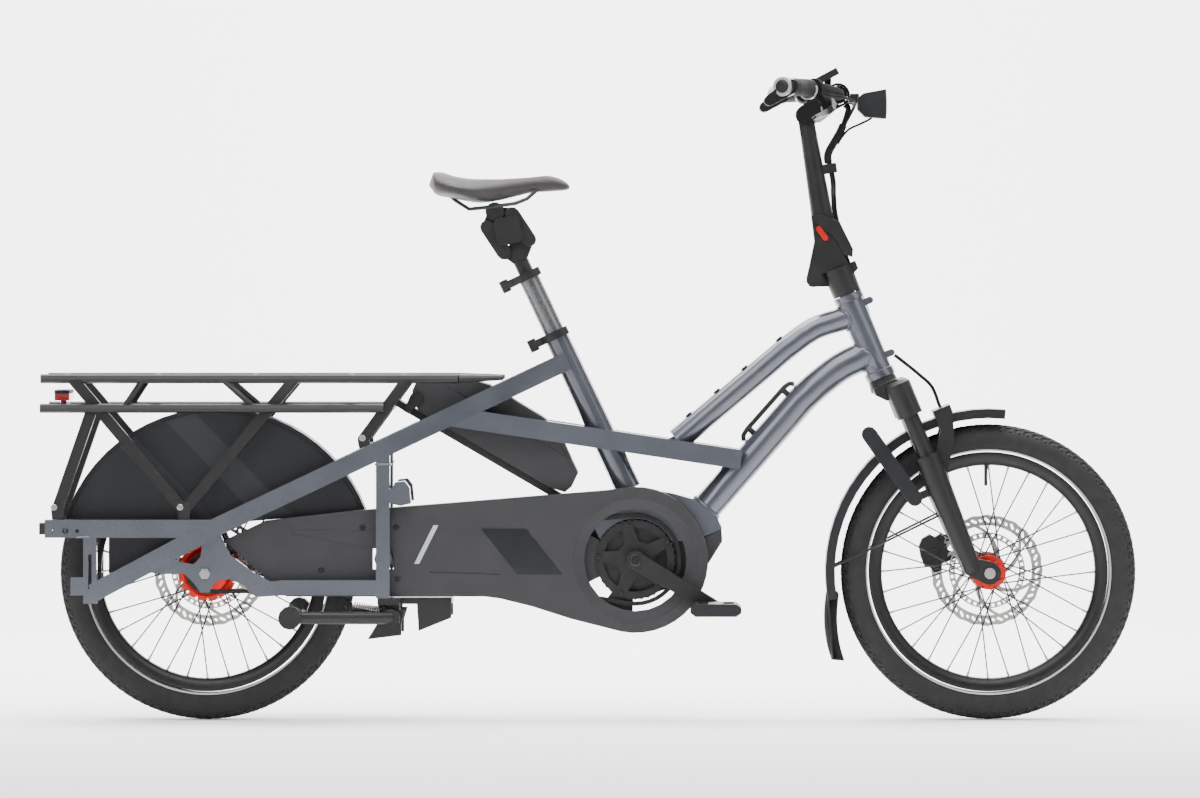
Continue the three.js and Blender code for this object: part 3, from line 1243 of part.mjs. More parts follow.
function frontAxleSolid() {
  const outer = lowers.dropoutInnerY + lowers.dropoutWidth + gap;
  const inner = lowers.dropoutInnerY - gap;
  return joined(
    crossRod(0, 0, -outer - nut.width / 2, outer + nut.width / 2, frontAxleRadius),
    bothSides(crossRod(0, 0, -outer - nut.width / 2, -outer, nut.radius, tubeSides)),
    crossRod(0, 0, disc.y + disc.width + gap * 2, inner, nut.radius),
  );
}

// Handlepost

function baseSolid() {
  const low = headTubeLength + base.low;
  const body = rod(vec(0, 0, low), vec(0, 0, low + base.height), base.footRadius, base.topRadius, 18);
  const lug = slab([[-base.footRadius / 2, low + base.height * 0.4], [foldPin.x - foldPin.lobe * 0.7,
    foldPin.z - foldPin.lobe * 0.7],
    [foldPin.x - foldPin.lobe, foldPin.z], [foldPin.x - foldPin.lobe / 2, foldPin.z + foldPin.lobe * 0.8],
    [foldPin.x + foldPin.lobe, foldPin.z + foldPin.lobe * 0.6],
    [-base.footRadius / 2, low + base.height]], -foldPin.lugHalf, foldPin.lugHalf);
  const hook = slab([[base.topRadius / 2, low + base.height / 2], [base.topRadius + catchLug.reach,
    low + base.height * 0.7],
    [base.topRadius + catchLug.reach, low + base.height], [base.topRadius / 2, low + base.height]],
  -catchLug.half, catchLug.half);
  const hole = crossRod(foldPin.x, foldPin.z, -base.topRadius, base.topRadius, runningRadius(foldPin.radius));
  return cut(joined(body, lug, hook), hole);
}

// Everything that the post's foot stands clear of, brought into the post's own frame
function baseSpace() {
  const low = headTubeLength;
  const body = rod(vec(0, 0, low), vec(0, 0, low + base.low + base.height + gap), base.topRadius * 1.3,
    base.topRadius * 1.3, 18);
  const half = foldPin.lugHalf + gap;
  const reach = foldPin.lobe + gap * 2;
  const lug = slab([...arc(foldPin.x, foldPin.z, reach, 50, 180, 6), [foldPin.x - reach,
    foldPin.z - foldPin.lobe * 3],
    [0, foldPin.z - foldPin.lobe * 3], [0, foldPin.z + foldPin.lobe * 1.2]], -half, half);
  return moved(joined(body, lug), postInverse);
}

function handlepostSolid() {
  const half = foldPin.earHalf;
  const { offset: x, tubeLow, tubeTop, lowRadius, topRadius, shoulder } = post;
  const foot = slab([[-foldPin.lobe, 0], [-foldPin.lobe * 0.7, -foldPin.lobe * 0.75], [0, -foldPin.lobe],
    [foldPin.lobe, -foldPin.lobe * 0.6], [x * 2, foldPin.lobe * 0.7], [shoulder, tubeLow * 0.36],
    [x + lowRadius * 1.1, tubeLow * 0.7], [x + lowRadius, tubeLow], [x - lowRadius, tubeLow],
    [x - lowRadius * 1.1, tubeLow * 0.6], [-foldPin.lobe * 0.3, foldPin.lobe * 2],
    [-foldPin.lobe * 0.9, foldPin.lobe * 0.6]], -half, half);
  const tube = rod(vec(x, 0, tubeLow - overrun), vec(x, 0, tubeTop), lowRadius, topRadius, 16);
  const head = slab(capsule(x, tubeTop - stem.eye, stem.eye, x, stem.pinZ, stem.eye), -stem.lugHalf,
    stem.lugHalf);
  const clip = box(x, x + lowRadius + cableClip.reach, -cableClip.width / 2, cableClip.width / 2, cableClip.z,
    cableClip.z + cableClip.length);
  const clipHole = rod(vec(cableX(), 0, cableClip.z - overrun), vec(cableX(), 0,
    cableClip.z + cableClip.length + overrun),
    cable.radius + gap * 4);
  const pin = crossRod(0, 0, -half, half, foldPin.radius);
  const pinHole = crossRod(x, stem.pinZ, -half, half, runningRadius(foldPin.radius));
  const pocket = slab(buttonOutline(gap), -half - overrun, -half + button.depth + button.travel + gap);
  const body = cut(joined(foot, tube, head, cut(clip, clipHole)), baseSpace(), pinHole, pocket);
  return joined(body, pin);
}

function cableX() {
  return post.offset + post.lowRadius + cableClip.reach - cable.radius * 1.8;
}

function buttonOutline(growth) {
  return capsule(button.lowX, button.lowZ, button.radius + growth, button.topX, button.topZ,
    button.radius + growth, 4);
}

function buttonSolid() {
  return slab(buttonOutline(0), -foldPin.earHalf - button.rise, -foldPin.earHalf + button.depth);
}

function latchSolid() {
  const outline = [[latch.pinX - latch.eye, latch.pinZ], [latch.pinX - latch.eye / 2, latch.pinZ - latch.eye],
    [post.shoulder - latch.eye * 1.6, latch.kneeZ], [latch.tipX - latch.width, latch.tipZ],
    [latch.tipX, latch.tipZ - latch.eye], [latch.tipX + latch.eye / 2, latch.tipZ + latch.eye],
    [latch.browX, latch.browZ], [latch.pinX + latch.eye, latch.pinZ + latch.eye],
    [latch.pinX - latch.eye / 2, latch.pinZ + latch.eye]];
  const inner = foldPin.earHalf + gap * 2;
  const whole = slab(outline, -inner - latch.thickness, inner + latch.thickness);
  const front = [latch.browX, latch.browZ];
  const space = slab([[-post.offset, -post.offset], [latch.tipX - latch.thickness, -post.offset],
    [latch.tipX - latch.thickness, latch.tipZ], [front[0] - latch.thickness, front[1]],
    [front[0] - latch.thickness, post.tubeTop], [-post.offset, post.tubeTop]], -inner, inner);
  return cut(whole, space);
}

// Stem and bar

function stemSolid() {
  const half = foldPin.earHalf;
  const [bx, bz] = [stem.barX - post.offset, stem.barZ - stem.pinZ];
  const body = slab(capsule(0, 0, stem.eye + overrun, bx, bz, stem.radius, 8), -half, half);
  const lug = slab(capsule(0, -stem.pinZ, stem.eye + runningGap, 0, 0, stem.eye + runningGap),
    -stem.lugHalf - gap,
    stem.lugHalf + gap);
  const spaces = [-stemTiltDeg, 0, stemTiltDeg].map((angle) => turned(lug, angle));
  const boreRadius = (stem.barRadius + gap) / Math.cos(Math.PI / 10);
  const bore = crossRod(bx, bz, -half - overrun, half + overrun, boreRadius, 16);
  return joined(cut(body, ...spaces, bore), crossRod(0, 0, -half, half, foldPin.radius));
}

function barPoints() {
  const { sweep: back, rise, endY, bendY } = bar;
  const side = (way) => [vec(0, way * bendY, 0), vec(-back / 3, way * (bendY + (endY - bendY) / 3), rise),
    vec(-back, way * endY, rise)];
  return [...side(-1).reverse(), ...side(1)];
}

function barSolid(growth = 0) {
  return tube(rounded(barPoints(), 2 * bar.radius, 2), bar.radius + growth, rodSides);
}

function handlebarSolid() {
  const clamp = crossRod(0, 0, -bar.clampHalf, bar.clampHalf, stem.barRadius, 16);
  const at = barPlace(lever.y);
  const ring = rod(along(at, barRun(), -lever.clampWidth / 2), along(at, barRun(), lever.clampWidth / 2),
    lever.clampRadius,
    lever.clampRadius, 10);
  const pivot = leverPivot();
  const neck = rod(along(at, vec(0, 0, -1), lever.clampRadius / 2), pivot, lever.clampWidth / 2,
    lever.clampWidth / 2, rodSides);
  const drum = crossRod(0, 0, -lever.bodyRadius, lever.bodyRadius, lever.bodyRadius);
  const bore = crossRod(0, 0, -2 * lever.bodyRadius, 2 * lever.bodyRadius, runningRadius(lever.pin));
  const body = cut(joined(neck, moved(drum, leverMatrix())), moved(bore, leverMatrix()));
  return joined(barSolid(), clamp, bothSides(joined(ring, body)));
}

// Middle of the right half of the bar at a distance from the stem, and its outward direction
function barPlace(y) {
  return vec((-bar.sweep * (y - bar.bendY)) / (bar.endY - bar.bendY), -y, bar.rise);
}

function barRun() {
  return vec(-bar.sweep, -(bar.endY - bar.bendY), 0).normalize();
}

function leverPivot() {
  return barPlace(lever.y).add(vec(lever.pivotX, 0, -lever.pivotZ - lever.bodyRadius));
}

// Frame of the right brake lever: X outward along the bar, Y along the lever's pin, Z towards the bar
function leverMatrix() {
  const run = barRun();
  const pin = barPlace(lever.y).sub(leverPivot()).cross(run).normalize();
  const matrix = new THREE.Matrix4().makeBasis(run, pin, run.clone().cross(pin));
  return matrix.setPosition(leverPivot());
}

function gripSolid() {
  const outer = along(barPlace(bar.endY), barRun(), -overrun);
  const inner = along(outer, barRun(), -grip.length);
  const body = rod(inner, outer, grip.radius, grip.radius, 14);
  const middle = barPlace(bar.endY - grip.length * 0.32);
  const wing = slab(capsule(middle.x, middle.z, grip.radius * 0.8, middle.x - grip.wing,
    middle.z - grip.wingDrop,
    grip.wingThickness), -bar.endY + overrun, -bar.endY + grip.length * 0.62);
  const bore = rod(along(inner, barRun(), -overrun), along(outer, barRun(), overrun * 2),
    bar.radius + 2 * gap);
  return cut(joined(body, wing), bore);
}

function brakeLeverSolid() {
  const { cheek, hub, kneeX, kneeDrop, kneeRadius, drop, halfWidth, tip } = leverBlade;
  const inner = lever.bodyRadius + gap;
  const outer = inner + cheek;
  const cheeks = bothSides(slab(capsule(0, 0, hub, kneeX, -kneeDrop, kneeRadius, 4), -outer, -inner));
  const knee = slab(capsule(kneeX, -kneeDrop, kneeRadius, kneeX * 1.5, -kneeDrop * 1.45, kneeRadius, 3),
    -outer, outer);
  const blade = slab(capsule(kneeX * 1.5, -kneeDrop * 1.45, kneeRadius, lever.reach, -drop, tip, 3),
    -halfWidth, halfWidth);
  return moved(joined(cheeks, knee, blade, crossRod(0, 0, -outer, outer, lever.pin, rodSides)),
    leverMatrix());
}

function displaySolid() {
  const { length, width, thickness, tiltDeg, x, z, y } = display;
  const body = box(-length / 2, length / 2, y - width / 2, y + width / 2, 0, thickness);
  const plate = moved(body, placement(vec(x, 0, z), tiltDeg));
  const foot = box(x - thickness / 2, x + thickness / 2, stem.halfWidth + gap * 2, y + width / 2 - thickness,
    -bar.radius, z + thickness / 2);
  return cut(joined(plate, foot), barSolid(2 * gap), crossRod(0, 0, -bar.clampHalf - gap,
    bar.clampHalf + gap, stem.barRadius + 2 * gap, 16));
}

function headlightSolid() {
  const { x, z, length, height, halfWidth, noseShare } = headlight;
  const outline = scaled([[0, 0.3], [0.25, 0.06], [1, 0], [1, 1], [0.2, noseShare], [0, 0.7]], x,
    z - height / 2, length, height);
  const body = slab(outline, -halfWidth, halfWidth);
  const recess = box(x + length - overrun, x + length + overrun, -halfWidth + overrun, halfWidth - overrun,
    z - height / 2 + overrun, z + height / 2 - overrun);
  const arm = box(stem.radius - overrun, x + overrun, -headlight.armHalf, headlight.armHalf,
    z + height * 0.05, z + height * 0.35);
  const stemSpace = crossRod(0, 0, -stem.halfWidth, stem.halfWidth, stem.radius + gap * 2, 24);
  return cut(joined(body, arm), recess, stemSpace);
}

// Seat, in the frame of the seat tube's top

// Outline in X and Y, made solid from z0 to z1
function flat(outline, z0, z1) {
  const shape = new THREE.Shape(outline.map(([x, y]) => new THREE.Vector2(x, y)));
  const geometry = new THREE.ExtrudeGeometry(shape, { depth: z1 - z0, bevelEnabled: false });
  geometry.translate(0, 0, z0);
  return solid(geometry);
}

function sleeveSolid() {
  const low = sleeve.top - clampRing.height / 2;
  const high = low + clampRing.height;
  const body = rod(vec(0, 0, sleeve.low), vec(0, 0, high), sleeve.outer, sleeve.outer, frameSides);
  const ring = rod(vec(0, 0, low), vec(0, 0, high), clampRing.radius, clampRing.radius, frameSides);
  const bore = rod(vec(0, 0, sleeve.low - overrun), vec(0, 0, high + overrun),
    runningRadius(seatPost.radius));
  return cut(joined(body, ring, shifted(clampEar(), 0, 0, low + clampRing.height / 4)), bore);
}

// Quick-release lever curved round the clamp, drawn about its own hinge
function clampLeverSolid() {
  const { hubRadius, innerRadius, thickness, tipDeg, overhang } = clampLever;
  const low = -clampRing.height / 4 - overhang;
  const high = -clampRing.height / 4 + clampRing.height + overhang;
  const hingeX = clampHingeX();
  const hub = flat(arc(0, 0, hubRadius, 0, 330, 11), low, high);
  const blade = flat(band(-hingeX, 0, innerRadius + thickness, innerRadius, 203, tipDeg, 9), low + overhang,
    high - overhang);
  const neck = flat([[0, 0], [0, -hubRadius], [hubRadius * 1.5, -innerRadius * 0.62], [hubRadius * 2.8,
    -innerRadius * 0.62],
    [hubRadius * 1.3, -hubRadius * 0.8]], low + overhang, high - overhang);
  const earSpace = box(-clampRing.earReach - gap - hingeX, -hingeX, -2 * clampRing.bolt - gap,
    2 * clampRing.bolt + gap,
    low - overrun, high + overrun);
  return cut(joined(hub, blade, neck), earSpace);
}

function clampHingeX() {
  return -clampRing.earReach - clampLever.hubRadius - gap * 2;
}

function linkTop(base) {
  return { x: base.x + link.riseX, z: base.z + link.riseZ };
}

const linkRear = { x: link.rearX, z: link.rearZ };
const linkFront = { x: link.rearX + link.baseX, z: link.rearZ + link.baseZ };

function linkSolid(base) {
  const top = linkTop(base);
  const { innerY, thickness } = linkPlate;
  const plate = slab(capsule(base.x, base.z, link.radius, top.x, top.z, link.radius, 5), -innerY - thickness,
    -innerY);
  const pin = (at) => crossRod(at.x, at.z, -innerY - thickness, innerY + thickness, link.bore, rodSides);
  return joined(bothSides(plate), pin(base), pin(top));
}

function seatPostSolid() {
  const half = linkPlate.innerY - 2 * gap;
  const reach = link.radius;
  const outline = [[-seatPost.radius, seatPost.top - overrun], [seatPost.radius, seatPost.top - overrun],
    [linkFront.x, linkFront.z - reach], [linkFront.x + reach, linkFront.z], [linkFront.x,
      linkFront.z + reach],
    [cover.stemX + cover.stem, linkRear.z + reach * 0.6], [cover.stemX + cover.stem,
      cover.stemZ + cover.stem],
    [cover.stemX - cover.stem, cover.stemZ + cover.stem], [cover.stemX - cover.stem,
      linkRear.z + reach * 0.6],
    [linkRear.x, linkRear.z + reach], [linkRear.x - reach, linkRear.z], [linkRear.x, linkRear.z - reach]];
  const block = slab(outline, -half, half);
  const bores = [linkRear, linkFront].map((at) => crossRod(at.x, at.z, -half - overrun, half + overrun,
    runningRadius(link.bore)));
  const tube = rod(vec(0, 0, seatPost.low), vec(0, 0, seatPost.top), seatPost.radius);
  const plateY = linkPlate.innerY + linkPlate.thickness + gap * 2;
  const stub = crossRod(cover.stemX, cover.stemZ, -plateY - overrun / 2, -half + overrun, cover.stem,
    rodSides);
  const plate = turned(slab(scaled([[-1, -0.7], [-0.7, -1], [0.7, -1], [1, -0.7], [1, 0.7], [0.7, 1], [-0.7,
    1], [-1, 0.7]],
    cover.x, cover.z, cover.half, cover.half), -plateY - cover.thickness, -plateY), cover.turnDeg, cover.x,
      cover.z);
  return joined(cut(joined(tube, block), ...bores), bothSides(joined(stub, plate)));
}

function seatHeadSolid() {
  const half = linkPlate.innerY - 2 * gap;
  const reach = link.radius;
  const [rear, front] = [linkTop(linkRear), linkTop(linkFront)];
  const outline = [[rear.x - reach, rear.z], [rear.x, rear.z - reach], [front.x, front.z - reach],
    [front.x + reach, front.z],
    [front.x, front.z + reach], [headBlock.clampX + headBlock.clampRadius, headBlock.clampZ],
    [headBlock.clampX - headBlock.clampRadius, headBlock.clampZ], [rear.x, rear.z + reach]];
  const block = slab(outline, -half, half);
  const bores = [rear, front].map((at) => crossRod(at.x, at.z, -half - overrun, half + overrun,
    runningRadius(link.bore)));
  const clamp = crossRod(headBlock.clampX, headBlock.clampZ, -headBlock.clampHalf, headBlock.clampHalf,
    headBlock.clampRadius, 14);
  const rails = [-1, 1].map((side) => tube(railPoints(side), rail.radius, thinSides));
  return joined(cut(joined(block, clamp), ...bores), ...rails);
}

// Saddle rail, in the frame of the seat
function railPoints(side) {
  const shares = [[0.15, 0.7, 0.75], [0.2, 0.2, 0.9], [0.285, -0.5, 1], [0.4, -0.35, 1], [0.6, 0, 1],
    [0.68, 0.4, 0.85], [0.754, 1.25, 0.6], [0.79, 1.6, 0.5]];
  return shares.map(([u, v, w]) => vec(saddle.rearX + u * saddle.length, side * rail.spread * w,
    saddle.baseZ + v * rail.drop).applyMatrix4(seatInverse));
}

// Room for a rail: wider by a gap all round and longer by one at each end
function railSpace(side) {
  const points = railPoints(side);
  const last = points.length - 1;
  points[0] = between(points[1], points[0], 1 + gap / rail.radius);
  points[last] = between(points[last - 1], points[last], 1 + gap / rail.radius);
  return moved(tube(points, rail.radius + 2 * gap, thinSides), seatMatrix);
}

// Value at a share of the length, straight between the listed pairs
function valueAt(table, share) {
  const next = table.findIndex(([at]) => at >= share);
  if (next <= 0) return table[next === 0 ? 0 : table.length - 1][1];
  const [[a, low], [b, high]] = [table[next - 1], table[next]];
  return low + ((high - low) * (share - a)) / (b - a);
}

const saddleTopShares = [[0, 0.62], [0.04, 1], [0.1, 0.94], [0.19, 0.79], [0.31, 0.72], [0.49, 0.73], [0.72,
  0.81],
  [0.84, 0.84], [0.91, 0.8], [0.97, 0.66], [1, 0.5]];
const saddleLowShares = [[0, 0.5], [0.055, 0.24], [0.17, 0.16], [0.28, 0.06], [0.375, 0.02], [0.49, 0.1],
  [0.715, 0.34],
  [0.82, 0.36], [0.97, 0.4], [1, 0.44]];
const saddleWidthShares = [[0, 0.3], [0.03, 0.62], [0.1, 0.92], [0.2, 1], [0.32, 0.86], [0.45, 0.56], [0.6,
  0.36],
  [0.8, 0.28], [0.95, 0.24], [1, 0.1]];

// Saddle shell: a closed round skin drawn out to the listed widths and heights
function saddleSolid() {
  const geometry = new THREE.SphereGeometry(1, saddle.ringSides, saddle.rings);
  geometry.rotateZ(Math.PI / 2);
  const position = geometry.getAttribute("position");
  for (let i = 0; i < position.count; i += 1) {
    const [px, py, pz] = [position.getX(i), position.getY(i), position.getZ(i)];
    const share = (1 + px) / 2;
    const girth = Math.max(Math.hypot(py, pz), 1e-6);
    const fade = Math.min(1, girth * 2.4);
    const [across, rise] = [py / girth, pz / girth];
    const top = valueAt(saddleTopShares, share) * saddle.height;
    const low = valueAt(saddleLowShares, share) * saddle.height;
    const half = (valueAt(saddleWidthShares, share) * saddle.width) / 2;
    const middle = (top + low) / 2;
    const flatRise = Math.sign(rise) * Math.abs(rise) ** 0.7;
    const crownDrop = rise > 0 ? saddle.crown * across * across * half / saddle.width : 0;
    const lift = middle + (flatRise * (top - low) * fade) / 2 - crownDrop;
    const wide = Math.sign(across) * Math.abs(across) ** 0.8 * half * fade;
    const at = vec(saddle.rearX + share * saddle.length, wide, saddle.baseZ + lift);
    position.setXYZ(i, at.x, at.y, at.z);
  }
  return moved(cut(solid(geometry), railSpace(-1), railSpace(1)), seatInverse);
}

// Kickstand

function standSolid() {
  const { pivotX, pivotZ, pinRadius, legRadius, footX, footZ, footRadius } = stand;
  const hubInner = standSpread.pinHalf;
  const hub = crossRod(pivotX, pivotZ, -standSpread.pivot - legRadius / 2, -hubInner, legRadius * 1.5,
    frameSides);
  const leg = rod(vec(pivotX, -standSpread.pivot, pivotZ), vec(footX, -standSpread.foot, footZ), legRadius);
  const foot = crossRod(footX, footZ, -standSpread.foot - standSpread.footWidth / 2,
    -standSpread.foot + standSpread.footWidth / 2, footRadius, frameSides);
  const pin = crossRod(pivotX, pivotZ, -standSpread.pivot, standSpread.pivot, pinRadius);
  const at = springHook.rearX - spring.coil;
  const legPoint = between(vec(pivotX, -standSpread.pivot, pivotZ), vec(footX, -standSpread.foot, footZ),
    (pivotX - at) / (pivotX - footX));
  const hook = rod(legPoint, vec(at, -spring.y, springHook.rearZ), springHook.radius, springHook.radius,
    rodSides);
  const hookEnd = crossRod(at, springHook.rearZ, -spring.y - springHook.radius, -spring.y + spring.coil,
    springHook.radius,
    rodSides);
  return joined(bothSides(joined(hub, leg, foot)), pin, hook, hookEnd);
}

function bracketSolid() {
  const { startX, endX, thickness, halfWidth, cheekY, cheek } = bracket;
  const top = upright.foot - gap;
  const plate = box(startX, endX, -halfWidth, halfWidth, top - thickness, top);
  const narrow = joined(...[-1, 1].map((side) => {
    const [y0, y1] = side < 0 ? [-halfWidth - overrun, -cheekY] : [cheekY, halfWidth + overrun];
    return box(startX + upright.width * 1.6, endX + overrun, y0, y1, top - 2 * thickness, top + thickness);
  }));
  const low = top - thickness;
  const outline = [[startX, low + overrun], [startX, stand.pivotZ - bracket.reach / 2],
    [startX - bracket.reach, bracket.toeZ],
    [stand.pivotX + bracket.reach, bracket.toeZ + bracket.reach * 0.4],
    [stand.pivotX + bracket.reach, stand.pivotZ - bracket.reach / 2], [stand.pivotX + bracket.reach * 1.6,
      low + overrun]];
  const side = slab(outline, -cheekY - cheek, -cheekY);
  const shield = slab([[shieldPlate.x, low + overrun], [shieldPlate.x + shieldPlate.length, low + overrun],
    [shieldPlate.x + shieldPlate.length, shieldPlate.frontZ], [shieldPlate.x + overrun, shieldPlate.rearZ]],
  -cheekY, -cheekY + cheek / 2);
  const hole = crossRod(stand.pivotX, stand.pivotZ, -cheekY - cheek - overrun, cheekY + cheek + overrun,
    runningRadius(stand.pinRadius));
  const peg = crossRod(springHook.frontX + spring.coil, springHook.frontZ, -spring.y - springHook.radius,
    -cheekY - overrun,
    springHook.radius, rodSides);
  return joined(cut(joined(plate, bothSides(joined(side, shield))), hole, narrow), peg);
}

// Tension spring as one helix with straight ends
function springSolid() {
  const rear = vec(springHook.rearX, -spring.y, springHook.rearZ);
  const front = vec(springHook.frontX, -spring.y, springHook.frontZ);
  const run = front.clone().sub(rear);
  const length = run.length();
  run.normalize();
  const side = vec(0, 1, 0);
  const rise = run.clone().cross(side).normalize();
  const radius = spring.coil - spring.wire;
  const turns = spring.curlCount;
  const endLength = 2 * spring.wire + gap;
  const rings = [];
  const steps = turns * spring.curlSteps;
  rings.push(rear.clone().addScaledVector(side, radius));
  for (let i = 0; i <= steps; i += 1) {
    const angle = (2 * Math.PI * i) / spring.curlSteps;
    const at = along(rear, run, endLength + ((length - 2 * endLength) * i) / steps);
    at.addScaledVector(side, radius * Math.cos(angle)).addScaledVector(rise, radius * Math.sin(angle));
    rings.push(at);
  }
  rings.push(front.clone().addScaledVector(side, radius));
  console.log("spring's least gap to itself", leastGap(rings, spring.wire, spring.curlSteps - 1).toFixed(2));
  return tubeThrough(rings, spring.wire, spring.wireSides);
}

// Least space between stretches of a wound tube that lie a number of points or more apart
function leastGap(points, radius, apart) {
  const spaces = points.flatMap((point,
    i) => points.slice(i + apart).map((other) => point.distanceTo(other)));
  return Math.min(...spaces) - 2 * radius;
}

// Thin tube through a list of points, with a flat cap at each end
function tubeThrough(points, radius, sides) {
  const corners = [];
  const faces = [];
  let normal = vec(0, 1, 0);
  points.forEach((point, i) => {
    const ahead = points[Math.min(i + 1, points.length - 1)].clone().sub(points[Math.max(i - 1,
      0)]).normalize();
    normal = normal.addScaledVector(ahead, -normal.dot(ahead)).normalize();
    const other = ahead.clone().cross(normal);
    for (let k = 0; k < sides; k += 1) {
      const angle = (2 * Math.PI * k) / sides;
      const corner = point.clone().addScaledVector(normal, radius * Math.cos(angle));
      corners.push(...corner.addScaledVector(other, radius * Math.sin(angle)).toArray());
      if (i === 0) continue;
      const [a, b] = [(i - 1) * sides + k, (i - 1) * sides + ((k + 1) % sides)];
      faces.push(a, b, b + sides, a, b + sides, a + sides);
    }
  });
  const last = (points.length - 1) * sides;
  for (let k = 1; k < sides - 1; k += 1) faces.push(0, k + 1, k, last, last + k, last + k + 1);
  const geometry = new THREE.BufferGeometry();
  geometry.setAttribute("position", new THREE.Float32BufferAttribute(corners, 3));
  geometry.setIndex(faces);
  return solid(geometry);
}

// Cables, in the frame of the steering axis

// The bundle runs from the bar through the clip on the post and past the latch into the head tube's left side.
function bundlePoints() {
  const inPost = (x, y, z) => vec(x, y, z).applyMatrix4(postMatrix);
  const entry = vec(Math.cos(radians(bundle.entryDeg)), Math.sin(radians(bundle.entryDeg)), 0);
  const end = along(vec(0, 0, bundle.entryZ), entry, headTube.radius + gap);
  const clipZ = cableClip.z + cableClip.length / 2;
  const out = forwardAlong(bundle.startDeg);
  return [
    inPost(stem.barX + (stem.radius + gap) * out.x, 0, stem.barZ + (stem.radius + gap) * out.z),
    inPost(stem.barX + (stem.radius + bundle.bulge) * out.x, 0,
      stem.barZ + (stem.radius + bundle.bulge) * out.z),
    inPost(stem.barX - bundle.bulge / 2, 0, stem.barZ - bundle.hang),
    inPost(cableX(), 0, clipZ + cableClip.length * 1.5),
    inPost(cableX(), 0, clipZ),
    inPost(cableX(), 0, clipZ - cableClip.length * 1.5),
    inPost(cableX() - bundle.bulge / 2, bundle.sideY, bundle.bulgeZ),
    vec(base.topRadius * 0.8, bundle.sideY, headTubeLength + base.height),
    along(end, entry, bundle.bulge * 2).add(vec(0, 0, bundle.bulge)),
    along(end, entry, bundle.bulge / 2),
    end,
  ];
}

function hosePoints() {
  const archTop = -forkLength + frontGuard.radius + gap + arch.thickness + gap;
  const start = vec(eyeletLug.reach + eyeletLug.radius * 0.6, 0, eyeletLug.lowZ - eyeletLug.radius - gap);
  const end = vec((arch.front + arch.back) / 2, 0, archTop);
  return [
    start,
    vec(start.x + hose.bulge * 0.4, 0, start.z - hose.bulge * 0.7),
    vec(end.x, 0, end.z + hose.bulge * 1.5),
    vec(end.x, 0, end.z + hose.bulge * 0.3),
    end,
  ];
}

// The whole bike

function frame(bike, wheel, drive) {
  piece(bike, "front_frame", "paint", frontFrame());
  const rear = rearFrame();
  piece(bike, "rear_frame_right", "paint", rear);
  piece(bike, "rear_frame_left", "paint", mirrored(rear));
  piece(bike, "rear_bumper_bar", "black", bumperBar());
  piece(bike, "rear_rack", "black", rackSolid());
  piece(bike, "tail_light", "lens", tailLampSolid());
  piece(bike, "battery_case", "plastic", batterySolid());
  piece(bike, "battery_cradle", "black", cradleSolid());
  piece(bike, "motor_unit", "plastic", motorSolid());
  piece(bike, "chain_case_outer", "plastic", caseSolid());
  piece(bike, "drive_chain", "steel", chainSolid());
  const guardBody = mudguardSolid(guard.forward, tyre.radius + guard.up, guard, guard.fromDeg, guard.toDeg,
    24);
  piece(bike, "rear_mudguard", "black", guardBody);
  piece(bike, "wheel_guard_right", "plastic", sidePlateSolid());
  piece(bike, "wheel_guard_left", "plastic", mirrored(sidePlateSolid()));
  piece(bike, "kickstand_bracket", "black", bracketSolid());
  piece(bike, "kickstand", "black", standSolid());
  piece(bike, "kickstand_spring", "steel", springSolid());
  piece(wheel, "rear_caliper", "black", rearCaliperSolid());
  piece(wheel, "rear_axle", "steel", rearAxleSolid());
  piece(drive, "chainring", "black", chainringSolid());
  const crankTurn = place(drive, 0, 0, 0, -crank.angleDeg);
  piece(crankTurn, "crank_right", "black", crankSolid(true));
  const leftTurn = place(drive, 0, 0, 0, 180 - crank.angleDeg);
  piece(leftTurn, "crank_left", "black", mirrored(crankSolid(false)));
  piece(place(crankTurn, crank.length, 0, 0, crank.angleDeg), "pedal_right", "plastic", pedalSolid());
  piece(place(leftTurn, crank.length, 0, 0, crank.angleDeg - 180), "pedal_left", "plastic",
    mirrored(pedalSolid()));
}

function wheelPieces(parent, name, hub) {
  piece(parent, `${name}_tyre`, "rubber", tyreSolid());
  piece(parent, `${name}_rim`, "black", rimSolid());
  piece(parent, `${name}_hub`, "red", hub);
  piece(parent, `${name}_disc`, "steel", discSolid());
}

function frontEnd(bike) {
  const steer = place(bike, headFoot.x, 0, headFoot.z, -headLeanDeg);
  piece(steer, "fork_upper", "black", forkUpper());
  piece(steer, "fork_lowers", "black", forkLowers());
  piece(steer, "front_mudguard", "black", frontMudguard());
  piece(steer, "front_caliper", "black", frontCaliper());
  piece(steer, "fork_unit", "plastic", forkUnitSolid());
  piece(steer, "handlepost_base", "black", baseSolid());
  piece(steer, "bar_cables", "rubber", sweep(bundlePoints(), cable.radius, rodSides, 24));
  piece(steer, "front_hose", "rubber", sweep(hosePoints(), cable.hoseRadius, rodSides, 12));
  const wheel = place(steer, forkRake, 0, -forkLength, headLeanDeg);
  wheelPieces(wheel, "front", frontHubSolid());
  piece(wheel, "front_axle", "steel", frontAxleSolid());
  const postGroup = place(steer, foldPin.x, 0, foldPin.z, postLeanDeg);
  piece(postGroup, "handlepost", "black", handlepostSolid());
  piece(postGroup, "latch_lever", "black", latchSolid());
  piece(postGroup, "latch_button", "red", buttonSolid());
  const stemGroup = place(postGroup, post.offset, 0, stem.pinZ);
  piece(stemGroup, "stem", "black", stemSolid());
  controls(place(stemGroup, stem.barX - post.offset, 0, stem.barZ - stem.pinZ, headLeanDeg - postLeanDeg));
}

